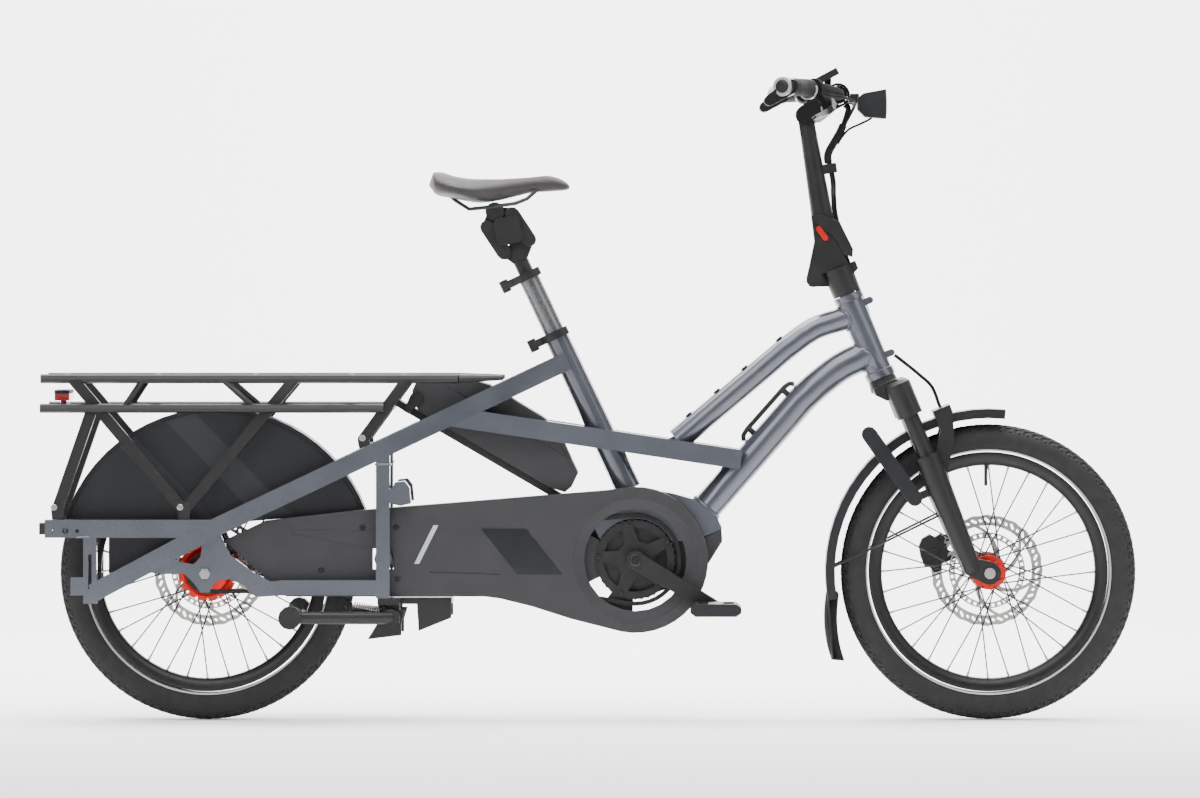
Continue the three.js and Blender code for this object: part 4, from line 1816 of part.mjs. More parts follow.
function controls(barGroup) {
  piece(barGroup, "handlebar", "black", handlebarSolid());
  const grips = gripSolid();
  piece(barGroup, "grip_right", "rubber", grips);
  piece(barGroup, "grip_left", "rubber", mirrored(grips));
  piece(barGroup, "display", "plastic", displaySolid());
  piece(barGroup, "headlight", "plastic", headlightSolid());
  const brake = brakeLeverSolid();
  piece(barGroup, "brake_lever_right", "black", brake);
  piece(barGroup, "brake_lever_left", "black", mirrored(brake));
}

function seatPieces(bike) {
  const seat = place(bike, seatTop.x, 0, seatTop.z, -seatLeanDeg);
  piece(seat, "seat_sleeve", "chrome", sleeveSolid());
  const hingeX = clampHingeX();
  const upperZ = sleeve.top - clampRing.height / 4;
  piece(place(seat, hingeX, 0, 0), "seat_lever_lower", "black", clampLeverSolid());
  piece(place(seat, hingeX, 0, upperZ), "seat_lever_upper", "black", clampLeverSolid());
  piece(seat, "seatpost", "black", seatPostSolid());
  piece(seat, "seat_link_rear", "black", linkSolid(linkRear));
  piece(seat, "seat_link_front", "black", linkSolid(linkFront));
  piece(seat, "seat_head", "black", seatHeadSolid());
  piece(seat, "saddle", "covering", saddleSolid());
}

function wholeBike() {
  const bike = new THREE.Group();
  const rearWheel = place(bike, 0, 0, tyre.radius);
  const drive = place(bike, bottomBracket.x, 0, bottomBracket.z);
  frame(bike, rearWheel, drive);
  wheelPieces(rearWheel, "rear", rearHubSolid());
  frontEnd(bike);
  seatPieces(bike);
  bike.updateMatrixWorld(true);
  const bounds = new THREE.Box3().setFromObject(bike, true);
  const middle = bounds.getCenter(vec(0, 0, 0));
  bike.position.set(-middle.x, -middle.y, -bounds.min.z);
  console.log("moved by", bike.position.toArray().map((value) => value.toFixed(3)).join(" "));
  return bike;
}

export default wholeBike();
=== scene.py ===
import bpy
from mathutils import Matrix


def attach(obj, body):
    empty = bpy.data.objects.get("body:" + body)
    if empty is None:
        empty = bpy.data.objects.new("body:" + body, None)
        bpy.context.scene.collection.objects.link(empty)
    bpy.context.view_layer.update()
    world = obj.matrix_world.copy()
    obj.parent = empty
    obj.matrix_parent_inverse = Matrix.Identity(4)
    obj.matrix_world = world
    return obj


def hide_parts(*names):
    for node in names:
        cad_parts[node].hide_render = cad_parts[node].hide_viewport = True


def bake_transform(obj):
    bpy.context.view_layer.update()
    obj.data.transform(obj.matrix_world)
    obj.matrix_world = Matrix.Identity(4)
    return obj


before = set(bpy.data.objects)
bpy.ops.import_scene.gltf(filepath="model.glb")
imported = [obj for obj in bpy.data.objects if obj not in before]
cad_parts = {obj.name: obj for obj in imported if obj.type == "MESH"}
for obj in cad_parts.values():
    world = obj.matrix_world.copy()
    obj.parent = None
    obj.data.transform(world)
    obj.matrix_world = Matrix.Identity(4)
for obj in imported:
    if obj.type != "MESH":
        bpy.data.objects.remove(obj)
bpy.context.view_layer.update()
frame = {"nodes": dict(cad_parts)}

import math

import bmesh
import bpy
import numpy as np
from bpy.props import FloatProperty, FloatVectorProperty, IntProperty, PointerProperty
from mathutils import Vector
from mathutils.geometry import delaunay_2d_cdt

bl_info = {
    "name": "Longtail cargo bike",
    "version": (1, 0, 0),
    "blender": (4, 5, 0),
    "location": "View3D > Sidebar > Cargo bike",
    "description": "Dresses the frame of a longtail cargo bike with tyres, wheels, saddle, cables and finishes",
    "category": "Add Mesh",
}

# Places on the bike are in millimetres from the rear wheel's contact with the ground, X forward.
REAR_CONTACT_X = 667.6
AXLE_Z = 258.0
FRONT_AXLE_X = 1365.0
CRANK_AXLE = np.array([748.0, 0.0, 281.0])
DOWN_TUBE_FOOT = np.array([874.0, 0.0, 372.0])
DOWN_TUBE_TOP = np.array([1055.05, 0.0, 576.2])
HEAD_FOOT = np.array([1178.05, 0.0, 597.53])
HEAD_UP = np.array([-0.37784, 0.0, 0.92587])
HEAD_FORWARD = np.array([0.92587, 0.0, 0.37784])
BAR_MIDDLE = np.array([1102.16, 0.0, 1091.73])
AHEAD, ACROSS, UP = np.eye(3)

# The photograph's frame in pixels, the millimetres of one in the bike's own plane, and the rear contact's pixel.
FRAME_WIDTH, FRAME_HEIGHT = 1200, 798
PIXEL = 1.75
CONTACT_PIXEL = (208, 718.9)

# Faces that meet at fewer degrees than this are shaded as one surface.
SMOOTH_ANGLE = 38.0


# Colours

def linear(code):
    """An sRGB hex colour as linear red, green and blue."""
    shares = [int(code[k:k + 2], 16) / 255 for k in (1, 3, 5)]
    return tuple(s / 12.92 if s <= 0.04045 else ((s + 0.055) / 1.055) ** 2.4 for s in shares)


def rgba(colour):
    """A colour with full opacity, as a node's socket takes it."""
    return (*tuple(colour)[:3], 1.0)


def shade(colour, share):
    """A share of a colour, held at white."""
    return tuple(min(1.0, c * share) for c in tuple(colour)[:3])


def colour_property(name, code, description):
    return FloatVectorProperty(name=name, description=description, subtype="COLOR", size=3, min=0, max=1,
                               default=linear(code))


def length_property(name, millimetres, description):
    return FloatProperty(name=name, description=description, unit="LENGTH", default=millimetres / 1000,
                         min=0.0001)


def count_property(name, count, description):
    return IntProperty(name=name, description=description, default=count, min=8)


class BikeSizes(bpy.types.PropertyGroup):
    tyre_radius: length_property("Tyre radius", 258, "Radius of the tyre at the crown of its tread")
    tyre_section: length_property("Tyre section", 27.5, "Radius of the tyre's round section")
    tread_depth: length_property("Tread depth", 2.3, "Depth of the grooves between the tread blocks")
    rim_radius: length_property("Rim radius", 209, "Outer radius of the rim")
    spoke_radius: length_property("Spoke radius", 1.25, "Radius of one spoke")
    rotor_radius: length_property("Rotor radius", 98, "Outer radius of the brake rotor")
    weld_radius: length_property("Weld bead", 2.3, "Radius of a weld bead on the frame")
    cable_radius: length_property("Cable radius", 2.5, "Radius of one hose or cable at the bar")
    spoke_count: count_property("Spokes", 32, "Number of spokes in each wheel")
    tread_count: count_property("Tread blocks", 96, "Blocks round the tyre in one row")


class BikeColours(bpy.types.PropertyGroup):
    frame: colour_property("Frame lacquer", "#4e515a", "Bluish grey metallic lacquer of the frame")
    black_metal: colour_property("Black metal", "#171718", "Satin powder coat of the rack, fork and posts")
    case: colour_property("Chain case", "#2b2b2d", "Moulded dark grey of the chain case and battery")
    guard: colour_property("Wheel guard", "#15161a", "Near-black plastic of the guards")
    rubber: colour_property("Rubber", "#141415", "Rubber of the grips and cables")
    tyre: colour_property("Tyre", "#1d1d1e", "Tyre rubber")
    steel: colour_property("Steel", "#a5a39e", "Bare steel and stainless rotors")
    red: colour_property("Red anodising", "#c5271f", "Red anodised aluminium of the hubs")
    saddle: colour_property("Saddle cover", "#2d2a29", "Charcoal brown cover of the saddle")
    floor: colour_property("Floor", "#ffffff", "Pale floor and backdrop")


# Places

def place(points):
    """Millimetres on the bike to metres in the part's frame, whose X starts REAR_CONTACT_X further forward."""
    array = np.array(points, float).reshape(-1, 3)
    array[:, 0] -= REAR_CONTACT_X
    return array / 1000


def at_pixel(px, py):
    """The X and Z in millimetres of what a pixel of the photograph shows in the bike's own plane."""
    return (px - CONTACT_PIXEL[0]) * PIXEL, (CONTACT_PIXEL[1] - py) * PIXEL


def from_axes(origin, forward, up, points):
    """Points given as (forward, across, up) of a leaning frame, as points on the bike."""
    array = np.array(points, float).reshape(-1, 3)
    return origin + array[:, :1] * forward + array[:, 1:2] * ACROSS + array[:, 2:] * up


# Surfaces

def around(steps):
    """Even angles once round, without the last, which is the first again."""
    return np.linspace(0, 2 * np.pi, steps, endpoint=False)


def unit(vectors):
    """Vectors brought to length one."""
    vectors = np.array(vectors, float)
    return vectors / np.linalg.norm(vectors, axis=-1, keepdims=True)


def polar(radius, angle, centre=(0.0, 0.0)):
    """Points (x, z) at a radius and an angle from a centre: x = r cos a and z = r sin a."""
    return np.stack([centre[0] + radius * np.cos(angle), centre[1] + radius * np.sin(angle)], axis=-1)


def squared(angle, power):
    """Cosine and sine pressed towards a square: each keeps its sign, and its size goes to a power below one."""
    return [np.sign(value) * np.abs(value) ** power for value in (np.cos(angle), np.sin(angle))]


def spaced(loop, count_for):
    """A closed line as evenly spaced points, as many as count_for gives for its length, and that length."""
    closed = np.concatenate([loop, loop[:1]])
    distance = np.concatenate([[0], np.cumsum(np.linalg.norm(np.diff(closed, axis=0), axis=1))])
    length = distance[-1]
    at = np.linspace(0, length, count_for(length), endpoint=False)
    return np.stack([np.interp(at, distance, column) for column in closed.T], axis=-1), length


def grid_faces(rows, columns, close_rows=False, close_columns=False):
    """Quads of a grid: each joins point (i, j) to (i + 1, j), (i + 1, j + 1) and (i, j + 1)."""
    i, j = np.meshgrid(np.arange(rows if close_rows else rows - 1),
                       np.arange(columns if close_columns else columns - 1), indexing="ij")
    i2, j2 = (i + 1) % rows, (j + 1) % columns
    quads = np.stack([i * columns + j, i2 * columns + j, i2 * columns + j2, i * columns + j2], axis=-1)
    return quads.reshape(-1, 4)


def tube_faces(rows, sides, closed=False):
    """Faces of a tube that is a row of rings, with a cap at each end unless it closes on itself."""
    faces = grid_faces(rows, sides, closed, True).tolist()
    if not closed:
        faces += [list(range(sides))[::-1], list(range((rows - 1) * sides, rows * sides))]
    return faces


def turned(centre, profile, steps):
    """A ring about an axle: each profile point (radius, y) goes round the centre, x = r cos a and z = r sin a."""
    radius, across = np.array(profile, float).T
    angle = around(steps)[:, None]
    points = np.stack([centre[0] + radius * np.cos(angle), centre[1] + across + 0 * angle,
                       centre[2] + radius * np.sin(angle)], axis=-1)
    return points.reshape(-1, 3), grid_faces(steps, len(radius), True, True).tolist()


def spindle(origin, direction, profile, steps=24):
    """A solid of revolution along a direction: each (radius, height) goes round it, and its ends close at radius
    0. The circle starts across from a slanted line that no spindle of the bike follows."""
    direction = unit(direction)
    side = unit(np.cross(direction, [0.0, 1.0, 0.1234]))
    other = np.cross(direction, side)
    radius, height = np.array([(0, profile[0][1]), *profile, (0, profile[-1][1])], float).T
    angle = around(steps)[:, None, None]
    ring = np.cos(angle) * side + np.sin(angle) * other
    points = np.array(origin, float) + height[:, None] * direction + radius[:, None] * ring
    return points.reshape(-1, 3), grid_faces(steps, len(radius), True, False).tolist()


def smooth_path(points, count):
    """Points on a Catmull-Rom curve through the given ones, evenly spaced in its parameter."""
    knots = np.array(points, float)
    ends = np.concatenate([[2 * knots[0] - knots[1]], knots, [2 * knots[-1] - knots[-2]]])
    t = np.linspace(0, len(knots) - 1, count)
    i = np.minimum(t.astype(int), len(knots) - 2)
    u = (t - i)[:, None]
    a, b, c, d = ends[i], ends[i + 1], ends[i + 2], ends[i + 3]
    return 0.5 * (2 * b + (c - a) * u + (2 * a - 5 * b + 4 * c - d) * u ** 2
                  + (3 * b - a - 3 * c + d) * u ** 3)


def path_sides(path, closed=False):
    """Two unit vectors across a path at each of its points, from one reference line that no stretch follows."""
    step = np.roll(path, -1, axis=0) - np.roll(path, 1, axis=0) if closed else np.gradient(path, axis=0)
    ahead = unit(step)
    guess = np.array([[0.13, 1.0, 0.07], [1.0, 0.11, 0.05], [0.06, 0.12, 1.0]])
    reference = guess[np.argmin([np.abs(ahead @ g).max() for g in guess])]
    side = unit(np.cross(ahead, reference))
    return side, np.cross(ahead, side)


def rings(side, other, radius, steps):
    """Circles about many points at once: cos a times one side and sin a times the other, out to the radius."""
    angle = around(steps)[None, :, None]
    return radius * (np.cos(angle) * side[:, None] + np.sin(angle) * other[:, None])


def hose(path, radius, sides=12, closed=False):
    """A round tube along a path: at each point a circle of the radius there, across the path."""
    path = np.array(path, float)
    side, other = path_sides(path, closed)
    radius = np.broadcast_to(np.asarray(radius, float), (len(path),))[:, None, None]
    points = path[:, None] + rings(side, other, radius, sides)
    return points.reshape(-1, 3), tube_faces(len(path), sides, closed)


def rods(starts, ends, radius, sides=8):
    """Straight round rods, all at once: a circle about each start and each end, joined and capped."""
    starts, ends = np.array(starts, float), np.array(ends, float)
    ahead = unit(ends - starts)
    side = unit(np.cross(ahead, [0.137, 0.979, 0.15]))
    ring = rings(side, np.cross(ahead, side), radius, sides)
    points = np.stack([starts[:, None] + ring, ends[:, None] + ring], axis=1)
    base = (np.arange(len(starts)) * 2 * sides)[:, None, None]
    walls = grid_faces(2, sides, False, True)[None] + base
    caps = np.stack([np.arange(sides)[::-1], np.arange(sides) + sides])[None] + base
    return points.reshape(-1, 3), walls.reshape(-1, 4).tolist() + caps.reshape(-1, sides).tolist()


def circle(radius, steps, centre=(0.0, 0.0)):
    """A flat circle of points (x, z) about a centre."""
    return polar(radius, around(steps), centre)


def ring_sector(centre, inner, outer, start, end):
    """Part of a flat ring between two angles in degrees: out along one arc and back along the other."""
    angle = np.radians(np.linspace(start, end, 14))
    return np.concatenate([polar(outer, angle, centre), polar(inner, angle[::-1], centre)])


def long_hole(centre, length, width, angle):
    """A slot with round ends: each point of a circle moves along the slot by half its straight length."""
    t = around(12) + np.pi / 12
    along = np.cos(t) * width / 2 + np.sign(np.cos(t)) * (length - width) / 2
    across = np.sin(t) * width / 2
    return np.stack([centre[0] + along * math.cos(angle) - across * math.sin(angle),
                     centre[1] + along * math.sin(angle) + across * math.cos(angle)], axis=-1)


def inside_loops(points, starts, ends):
    """Whether each point lies inside an odd number of loops, by counting the edges that a ray along X from it
    crosses."""
    x, z = points[:, :1], points[:, 1:]
    over = (starts[:, 1] > z) != (ends[:, 1] > z)
    rise = np.where(over, ends[:, 1] - starts[:, 1], 1)
    at = starts[:, 0] + (z - starts[:, 1]) / rise * (ends[:, 0] - starts[:, 0])
    return (over & (x < at)).sum(axis=1) % 2 == 1


def at_y(flat, y):
    """Flat points (x, z) at one distance across the bike."""
    return np.stack([flat[:, 0], np.full(len(flat), y), flat[:, 1]], axis=-1)


def pierced(outline, holes, y0, y1):
    """A flat plate across Y with holes: the loops are filled by a constrained triangulation, the triangles in the
    holes are left out, and walls join the two faces."""
    loops = [np.array(loop, float) for loop in (outline, *holes)]
    flat = np.concatenate(loops)
    starts = np.cumsum([0] + [len(loop) for loop in loops])
    edges = [(int(a + k), int(a + (k + 1) % (b - a))) for a, b in zip(starts, starts[1:]) for k in range(b - a)]
    found = delaunay_2d_cdt([Vector(p) for p in flat], edges, [], 1, 1e-6)
    cap = np.array([list(v) for v in found[0]])
    triangles = np.array([list(face) for face in found[2]])
    ends = np.array(edges)
    triangles = triangles[inside_loops(cap[triangles].mean(axis=1), flat[ends[:, 0]], flat[ends[:, 1]])]
    low = at_y(cap, y0)
    high = low + [0, y1 - y0, 0]
    faces = triangles.tolist() + (triangles[:, ::-1] + len(cap)).tolist()
    base = 2 * len(cap)
    faces += [[base + a, base + b, base + b + len(flat), base + a + len(flat)] for a, b in edges]
    return np.concatenate([low, high, at_y(flat, y0), at_y(flat, y1)]), faces


def repeated(shell, turns):
    """Copies of one shell, moved and turned by each row of turns: (x, y, z, angle about Y in radians)."""
    points, faces = shell
    turns = np.array(turns, float).reshape(-1, 4)
    cosine, sine = np.cos(turns[:, 3:]), np.sin(turns[:, 3:])
    x = points[None, :, 0] * cosine - points[None, :, 2] * sine + turns[:, :1]
    z = points[None, :, 0] * sine + points[None, :, 2] * cosine + turns[:, 2:3]
    y = points[None, :, 1] + turns[:, 1:2]
    copies = [[i + k * len(points) for i in face] for k in range(len(turns)) for face in faces]
    return np.stack([x, y, z], axis=-1).reshape(-1, 3), copies


def moved(shell, offset):
    """The same shell, moved."""
    points, faces = shell
    return points + offset, faces


def mirrored(shell):
    """The same shell on the other side of the bike: y changes its sign."""
    points, faces = shell
    return points * [1, -1, 1], faces


def both_sides(shells):
    """Shells and their mirror images on the other side of the bike."""
    return [*shells, *[mirrored(shell) for shell in shells]]


def joined(shells):
    """Several shells as one: the faces of each count on from the points of those before it."""
    starts = np.cumsum([0] + [len(points) for points, _ in shells])
    faces = [[i + int(start) for i in face] for start, (_, group) in zip(starts, shells) for face in group]
    return np.concatenate([points for points, _ in shells]), faces


def piece(name, shells, body, finish_name, smooth=SMOOTH_ANGLE, stands_for=()):
    """Joins shells given in millimetres on the bike into one object in the part's frame, with its faces outwards.
    The finish gives its material."""
    points, faces = joined(shells if isinstance(shells, list) else [shells])
    mesh = bpy.data.meshes.new(name)
    mesh.from_pydata(place(points).tolist(), [], faces)
    work = bmesh.new()
    work.from_mesh(mesh)
    bmesh.ops.remove_doubles(work, verts=work.verts, dist=1e-6)
    bmesh.ops.recalc_face_normals(work, faces=work.faces)
    work.to_mesh(mesh)
    work.free()
    mesh.polygons.foreach_set("use_smooth", np.ones(len(mesh.polygons), bool))
    mesh.set_sharp_from_angle(angle=math.radians(smooth))
    mesh.materials.append(material(finish_name))
    made = bpy.data.objects.new(name, mesh)
    bpy.context.scene.collection.objects.link(made)
    if stands_for:
        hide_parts(*stands_for)
    if body:
        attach(made, body)
    return made


# Materials

def add_node(tree, kind, settings=None, values=None, links=None):
    """Adds one node: settings are its properties, values go to its inputs, links join inputs to other outputs."""
    node = tree.nodes.new(kind)
    for key, value in (settings or {}).items():
        setattr(node, key, value)
    for key, value in (values or {}).items():
        node.inputs[key].default_value = value
    for key, source in (links or {}).items():
        tree.links.new(source, node.inputs[key])
    return node


def finish(name, colour, **values):
    """A new material with one surface shader whose own sockets hold the uniform values."""
    made = bpy.data.materials.get(name) or bpy.data.materials.new(name)
    made.use_nodes = True
    tree = made.node_tree
    tree.nodes.clear()
    values = {key.replace("_", " "): value for key, value in values.items()}
    shader = add_node(tree, "ShaderNodeBsdfPrincipled", values={"Base Color": rgba(colour), **values})
    add_node(tree, "ShaderNodeOutputMaterial", links={"Surface": shader.outputs[0]})
    made.diffuse_color = rgba(colour)
    return made, tree, shader


def grain(tree, shader, size, depth, strength, kind="ShaderNodeTexNoise"):
    """Bump of a size and depth in metres: a noise or cell pattern in object coordinates pushes the normal."""
    coordinates = add_node(tree, "ShaderNodeTexCoord").outputs["Object"]
    values = {"Scale": 1 / size}
    if kind == "ShaderNodeTexNoise":
        values["Detail"] = 3.0
    pattern = add_node(tree, kind, values=values, links={"Vector": coordinates})
    bump = add_node(tree, "ShaderNodeBump", values={"Distance": depth, "Strength": strength},
                    links={"Height": pattern.outputs[0]})
    tree.links.new(bump.outputs[0], shader.inputs["Normal"])
    return coordinates


def varied(tree, shader, coordinates, size, low, high):
    """Roughness that changes slowly between two values, from noise of the given size in metres."""
    noise = add_node(tree, "ShaderNodeTexNoise", values={"Scale": 1 / size, "Detail": 4.0},
                     links={"Vector": coordinates})
    spread = add_node(tree, "ShaderNodeMapRange",
                      values={"From Min": 0.3, "From Max": 0.7, "To Min": low, "To Max": high},
                      links={"Value": noise.outputs[0]})
    tree.links.new(spread.outputs[0], shader.inputs["Roughness"])


def tinted(tree, shader, coordinates, colour, size, low, high):
    """Colour that changes slowly between two shares of itself, from noise of the given size in metres."""
    noise = add_node(tree, "ShaderNodeTexNoise", values={"Scale": 1 / size, "Detail": 5.0},
                     links={"Vector": coordinates})
    ramp = add_node(tree, "ShaderNodeValToRGB", links={"Fac": noise.outputs[0]})
    for stop, position, share in zip(ramp.color_ramp.elements, (0.35, 0.65), (low, high)):
        stop.position, stop.color = position, rgba(shade(colour, share))
    tree.links.new(ramp.outputs[0], shader.inputs["Base Color"])


def surface(name, colour, pattern, rough=None, tones=None, **values):
    """A finish with its grain, and with a slow change of colour, roughness or both. Pattern is the grain's size,
    depth and strength, rough a size and two values, and tones a size and two shares of the colour."""
    made, tree, shader = finish(name, colour, **values)
    coordinates = grain(tree, shader, *pattern)
    if tones:
        tinted(tree, shader, coordinates, colour, *tones)
    if rough:
        varied(tree, shader, coordinates, *rough)
    return made


def frame_lacquer(colours):
    """Metallic lacquer on welded aluminium: fine flakes under a clear coat, with the pull of hand finishing at the
    joints."""
    return surface("lacquered_aluminium", colours.frame, (0.0011, 0.00005, 0.35), (0.05, 0.3, 0.42),
                   (0.0009, 0.86, 1.2), Metallic=0.75, Roughness=0.34, Coat_Weight=0.9, Coat_Roughness=0.07)


def powder_coat(colours):
    """Satin powder coat on steel and aluminium: a fine orange peel of about a millimetre."""
    return surface("powder_coated_metal", colours.black_metal, (0.0013, 0.00007, 0.5), (0.03, 0.34, 0.46),
                   Roughness=0.42, Specular_IOR_Level=0.32)


def blasted_anodising(colours):
    """Bead blasted black anodising of the handlebar and stem: fully matt, so that it stays dark along the tube."""
    return surface("blasted_anodised_aluminium", colours.black_metal, (0.0009, 0.00005, 0.5), (0.02, 0.78, 0.92),
                   Roughness=0.85, Specular_IOR_Level=0.08)


def case_plastic(colours):
    """Glass filled nylon of the chain case and battery: matt, with a spark eroded grain, drawn coarse to show."""
    return surface("moulded_nylon", colours.case, (0.0008, 0.00008, 0.55), tones=(0.06, 0.93, 1.05),
                   Roughness=0.5, Specular_IOR_Level=0.3)


def guard_plastic(colours):
    """Smooth polypropylene of the guards: near black, with a soft sheen and faint flow marks."""
    return surface("moulded_polypropylene", colours.guard, (0.004, 0.00005, 0.35), (0.05, 0.34, 0.5),
                   Roughness=0.4, Specular_IOR_Level=0.3)


def soft_rubber(colours):
    """Moulded rubber of the grips and cable jackets: dull, with a fine cell grain."""
    return surface("moulded_rubber", colours.rubber, (0.0016, 0.00018, 0.6, "ShaderNodeTexVoronoi"),
                   (0.02, 0.62, 0.82), Roughness=0.72, Specular_IOR_Level=0.15)


def tyre_rubber(colours):
    """Vulcanised tyre rubber: dull dark grey in uneven tones, with the mould's fine texture."""
    return surface("vulcanised_rubber", colours.tyre, (0.0012, 0.00012, 0.5), tones=(0.018, 0.88, 1.15),
                   Roughness=0.75, Specular_IOR_Level=0.3)


def bare_steel(colours):
    """Ground stainless steel of the rotors, bolts and axles: bright, with a fine ground texture."""
    return surface("ground_steel", colours.steel, (0.0007, 0.00004, 0.4), (0.008, 0.25, 0.42),
                   Metallic=1.0, Roughness=0.32)


def oiled_chain(colours):
    """Oiled steel of the chain: darker than bare steel, with a film that shines unevenly."""
    return surface("oiled_steel", linear("#2d2c2b"), (0.0009, 0.00004, 0.4), (0.006, 0.28, 0.5),
                   Metallic=0.9, Roughness=0.4)


def red_anodising(colours):
    """Anodised aluminium of the hubs: dyed red under a fine satin."""
    return surface("anodised_aluminium", colours.red, (0.0008, 0.00004, 0.35), (0.01, 0.28, 0.4),
                   Metallic=0.65, Roughness=0.33)


def black_anodising(colours):
    """Black anodised aluminium of the rims and bolts: smoother than powder coat, with a cool reflection."""
    return surface("black_anodised_aluminium", linear("#1d1d1f"), (0.0008, 0.00003, 0.4), (0.012, 0.3, 0.44),
                   Metallic=0.5, Roughness=0.35)


def dark_chrome(colours):
    """Polished dark grey tube that slides in its clamp, with faint cloudy wear."""
    return surface("hard_anodised_tube", linear("#6d6e70"), (0.002, 0.00002, 0.3), (0.006, 0.22, 0.36),
                   Metallic=0.85, Roughness=0.28)


def saddle_cover(colours):
    """Microfibre cover of the saddle: a soft leather grain of a millimetre and a half, in uneven tones."""
    return surface("microfibre_cover", colours.saddle, (0.0017, 0.00025, 0.5, "ShaderNodeTexVoronoi"),
                   tones=(0.03, 0.85, 1.12), Roughness=0.5, Specular_IOR_Level=0.35, Sheen_Weight=0.04)


def red_lens(colours):
    """Clear red acrylic of the rear lamp over its prisms."""
    return surface("red_acrylic", linear("#8e1210"), (0.0035, 0.0007, 0.8, "ShaderNodeTexVoronoi"),
                   (0.01, 0.08, 0.2), Roughness=0.12, IOR=1.49, Coat_Weight=0.6, Coat_Roughness=0.03)


def screen_glass(colours):
    """Black cover glass of the display, and the gloss of the chain case's pane and seam: barely uneven."""
    return surface("cover_glass", linear("#101114"), (0.03, 0.00004, 0.25), (0.03, 0.06, 0.14),
                   Roughness=0.1, IOR=1.5, Coat_Weight=0.4)


def reflective_band_and_highlight(colours):
    """Grey reflective fabric on the tyre's sidewall, woven of threads under a millimetre. The same grey is also
    the painted highlight on the chain case's slanted edge.
    """
    return surface("reflective_fabric_and_highlight", linear("#a9abac"), (0.0009, 0.00008, 0.5), (0.01, 0.35, 0.5),
                   Metallic=0.2, Roughness=0.4)


def lamp_lens(colours):
    """Clear polycarbonate over the headlight's reflector: ribbed, bright grey."""
    made, tree, shader = finish("ribbed_polycarbonate", linear("#c9ced2"), Metallic=0.35, Roughness=0.12,
                                IOR=1.58)
    coordinates = add_node(tree, "ShaderNodeTexCoord").outputs["Object"]
    ribs = add_node(tree, "ShaderNodeTexWave", {"bands_direction": "Y"}, {"Scale": 60.0},
                    {"Vector": coordinates})
    bump = add_node(tree, "ShaderNodeBump", values={"Distance": 0.0008, "Strength": 0.7},
                    links={"Height": ribs.outputs[0]})
    tree.links.new(bump.outputs[0], shader.inputs["Normal"])
    return made


def guard_pattern(colours):
    """Matt film on the wheel guard: near black, with two broad greyer bands that rise to the rear. A point is on a
    band where slope times x plus z is within half the band's width of its middle."""
    made, tree, shader = finish("guard_film", colours.guard, Roughness=0.36, Specular_IOR_Level=0.35)
    coordinates = grain(tree, shader, 0.003, 0.00004, 0.3)
    slope = 1.05
    apart = add_node(tree, "ShaderNodeSeparateXYZ", links={"Vector": coordinates})
    lean = add_node(tree, "ShaderNodeMath", {"operation": "MULTIPLY_ADD"}, {1: slope},
                    {0: apart.outputs[0], 2: apart.outputs[2]})
    bands = []
    for middle, half in ((-0.22, 0.034), (-0.36, 0.022)):
        off = add_node(tree, "ShaderNodeMath", {"operation": "SUBTRACT"}, {1: middle}, {0: lean.outputs[0]})
        size = add_node(tree, "ShaderNodeMath", {"operation": "ABSOLUTE"}, {}, {0: off.outputs[0]})
        bands.append(add_node(tree, "ShaderNodeMath", {"operation": "LESS_THAN"}, {1: half},
                              {0: size.outputs[0]}))
    both = add_node(tree, "ShaderNodeMath", {"operation": "MAXIMUM"}, {},
                    {0: bands[0].outputs[0], 1: bands[1].outputs[0]})
    ramp = add_node(tree, "ShaderNodeValToRGB", links={"Fac": both.outputs[0]})
    ramp.color_ramp.elements[0].color = rgba(colours.guard)
    ramp.color_ramp.elements[1].color = rgba(linear("#24252a"))
    tree.links.new(ramp.outputs[0], shader.inputs["Base Color"])
    return made


# Each finish: what makes its material, and the slot of the record that goes with it.
FINISHES = {
    "frame": (frame_lacquer, "frame_paint"),
    "black": (powder_coat, "black_metal"),
    "matt": (blasted_anodising, "black_metal"),
    "case": (case_plastic, "dark_plastic"),
    "guard": (guard_plastic, "black_plastic"),
    "film": (guard_pattern, "black_plastic"),
    "rubber": (soft_rubber, "black_rubber"),
    "tyre": (tyre_rubber, "tyre_rubber"),
    "band": (reflective_band_and_highlight, "tyre_rubber"),
    "steel": (bare_steel, "bare_steel"),
    "chain": (oiled_chain, "bare_steel"),
    "chrome": (dark_chrome, "dark_chrome"),
    "red": (red_anodising, "red_anodised"),
    "anodised": (black_anodising, "black_metal"),
    "saddle": (saddle_cover, "saddle_cover"),
    "lens": (red_lens, "red_lens"),
    "glass": (screen_glass, "dark_plastic"),
    "lamp": (lamp_lens, "dark_plastic"),
}
MATERIALS = {}


def material(name):
    """The material of a finish, made when it is first asked for."""
    if name not in MATERIALS:
        MATERIALS[name] = FINISHES[name][0](bpy.context.scene.bike_colours)
    return MATERIALS[name]


# Finish of the fixed nodes

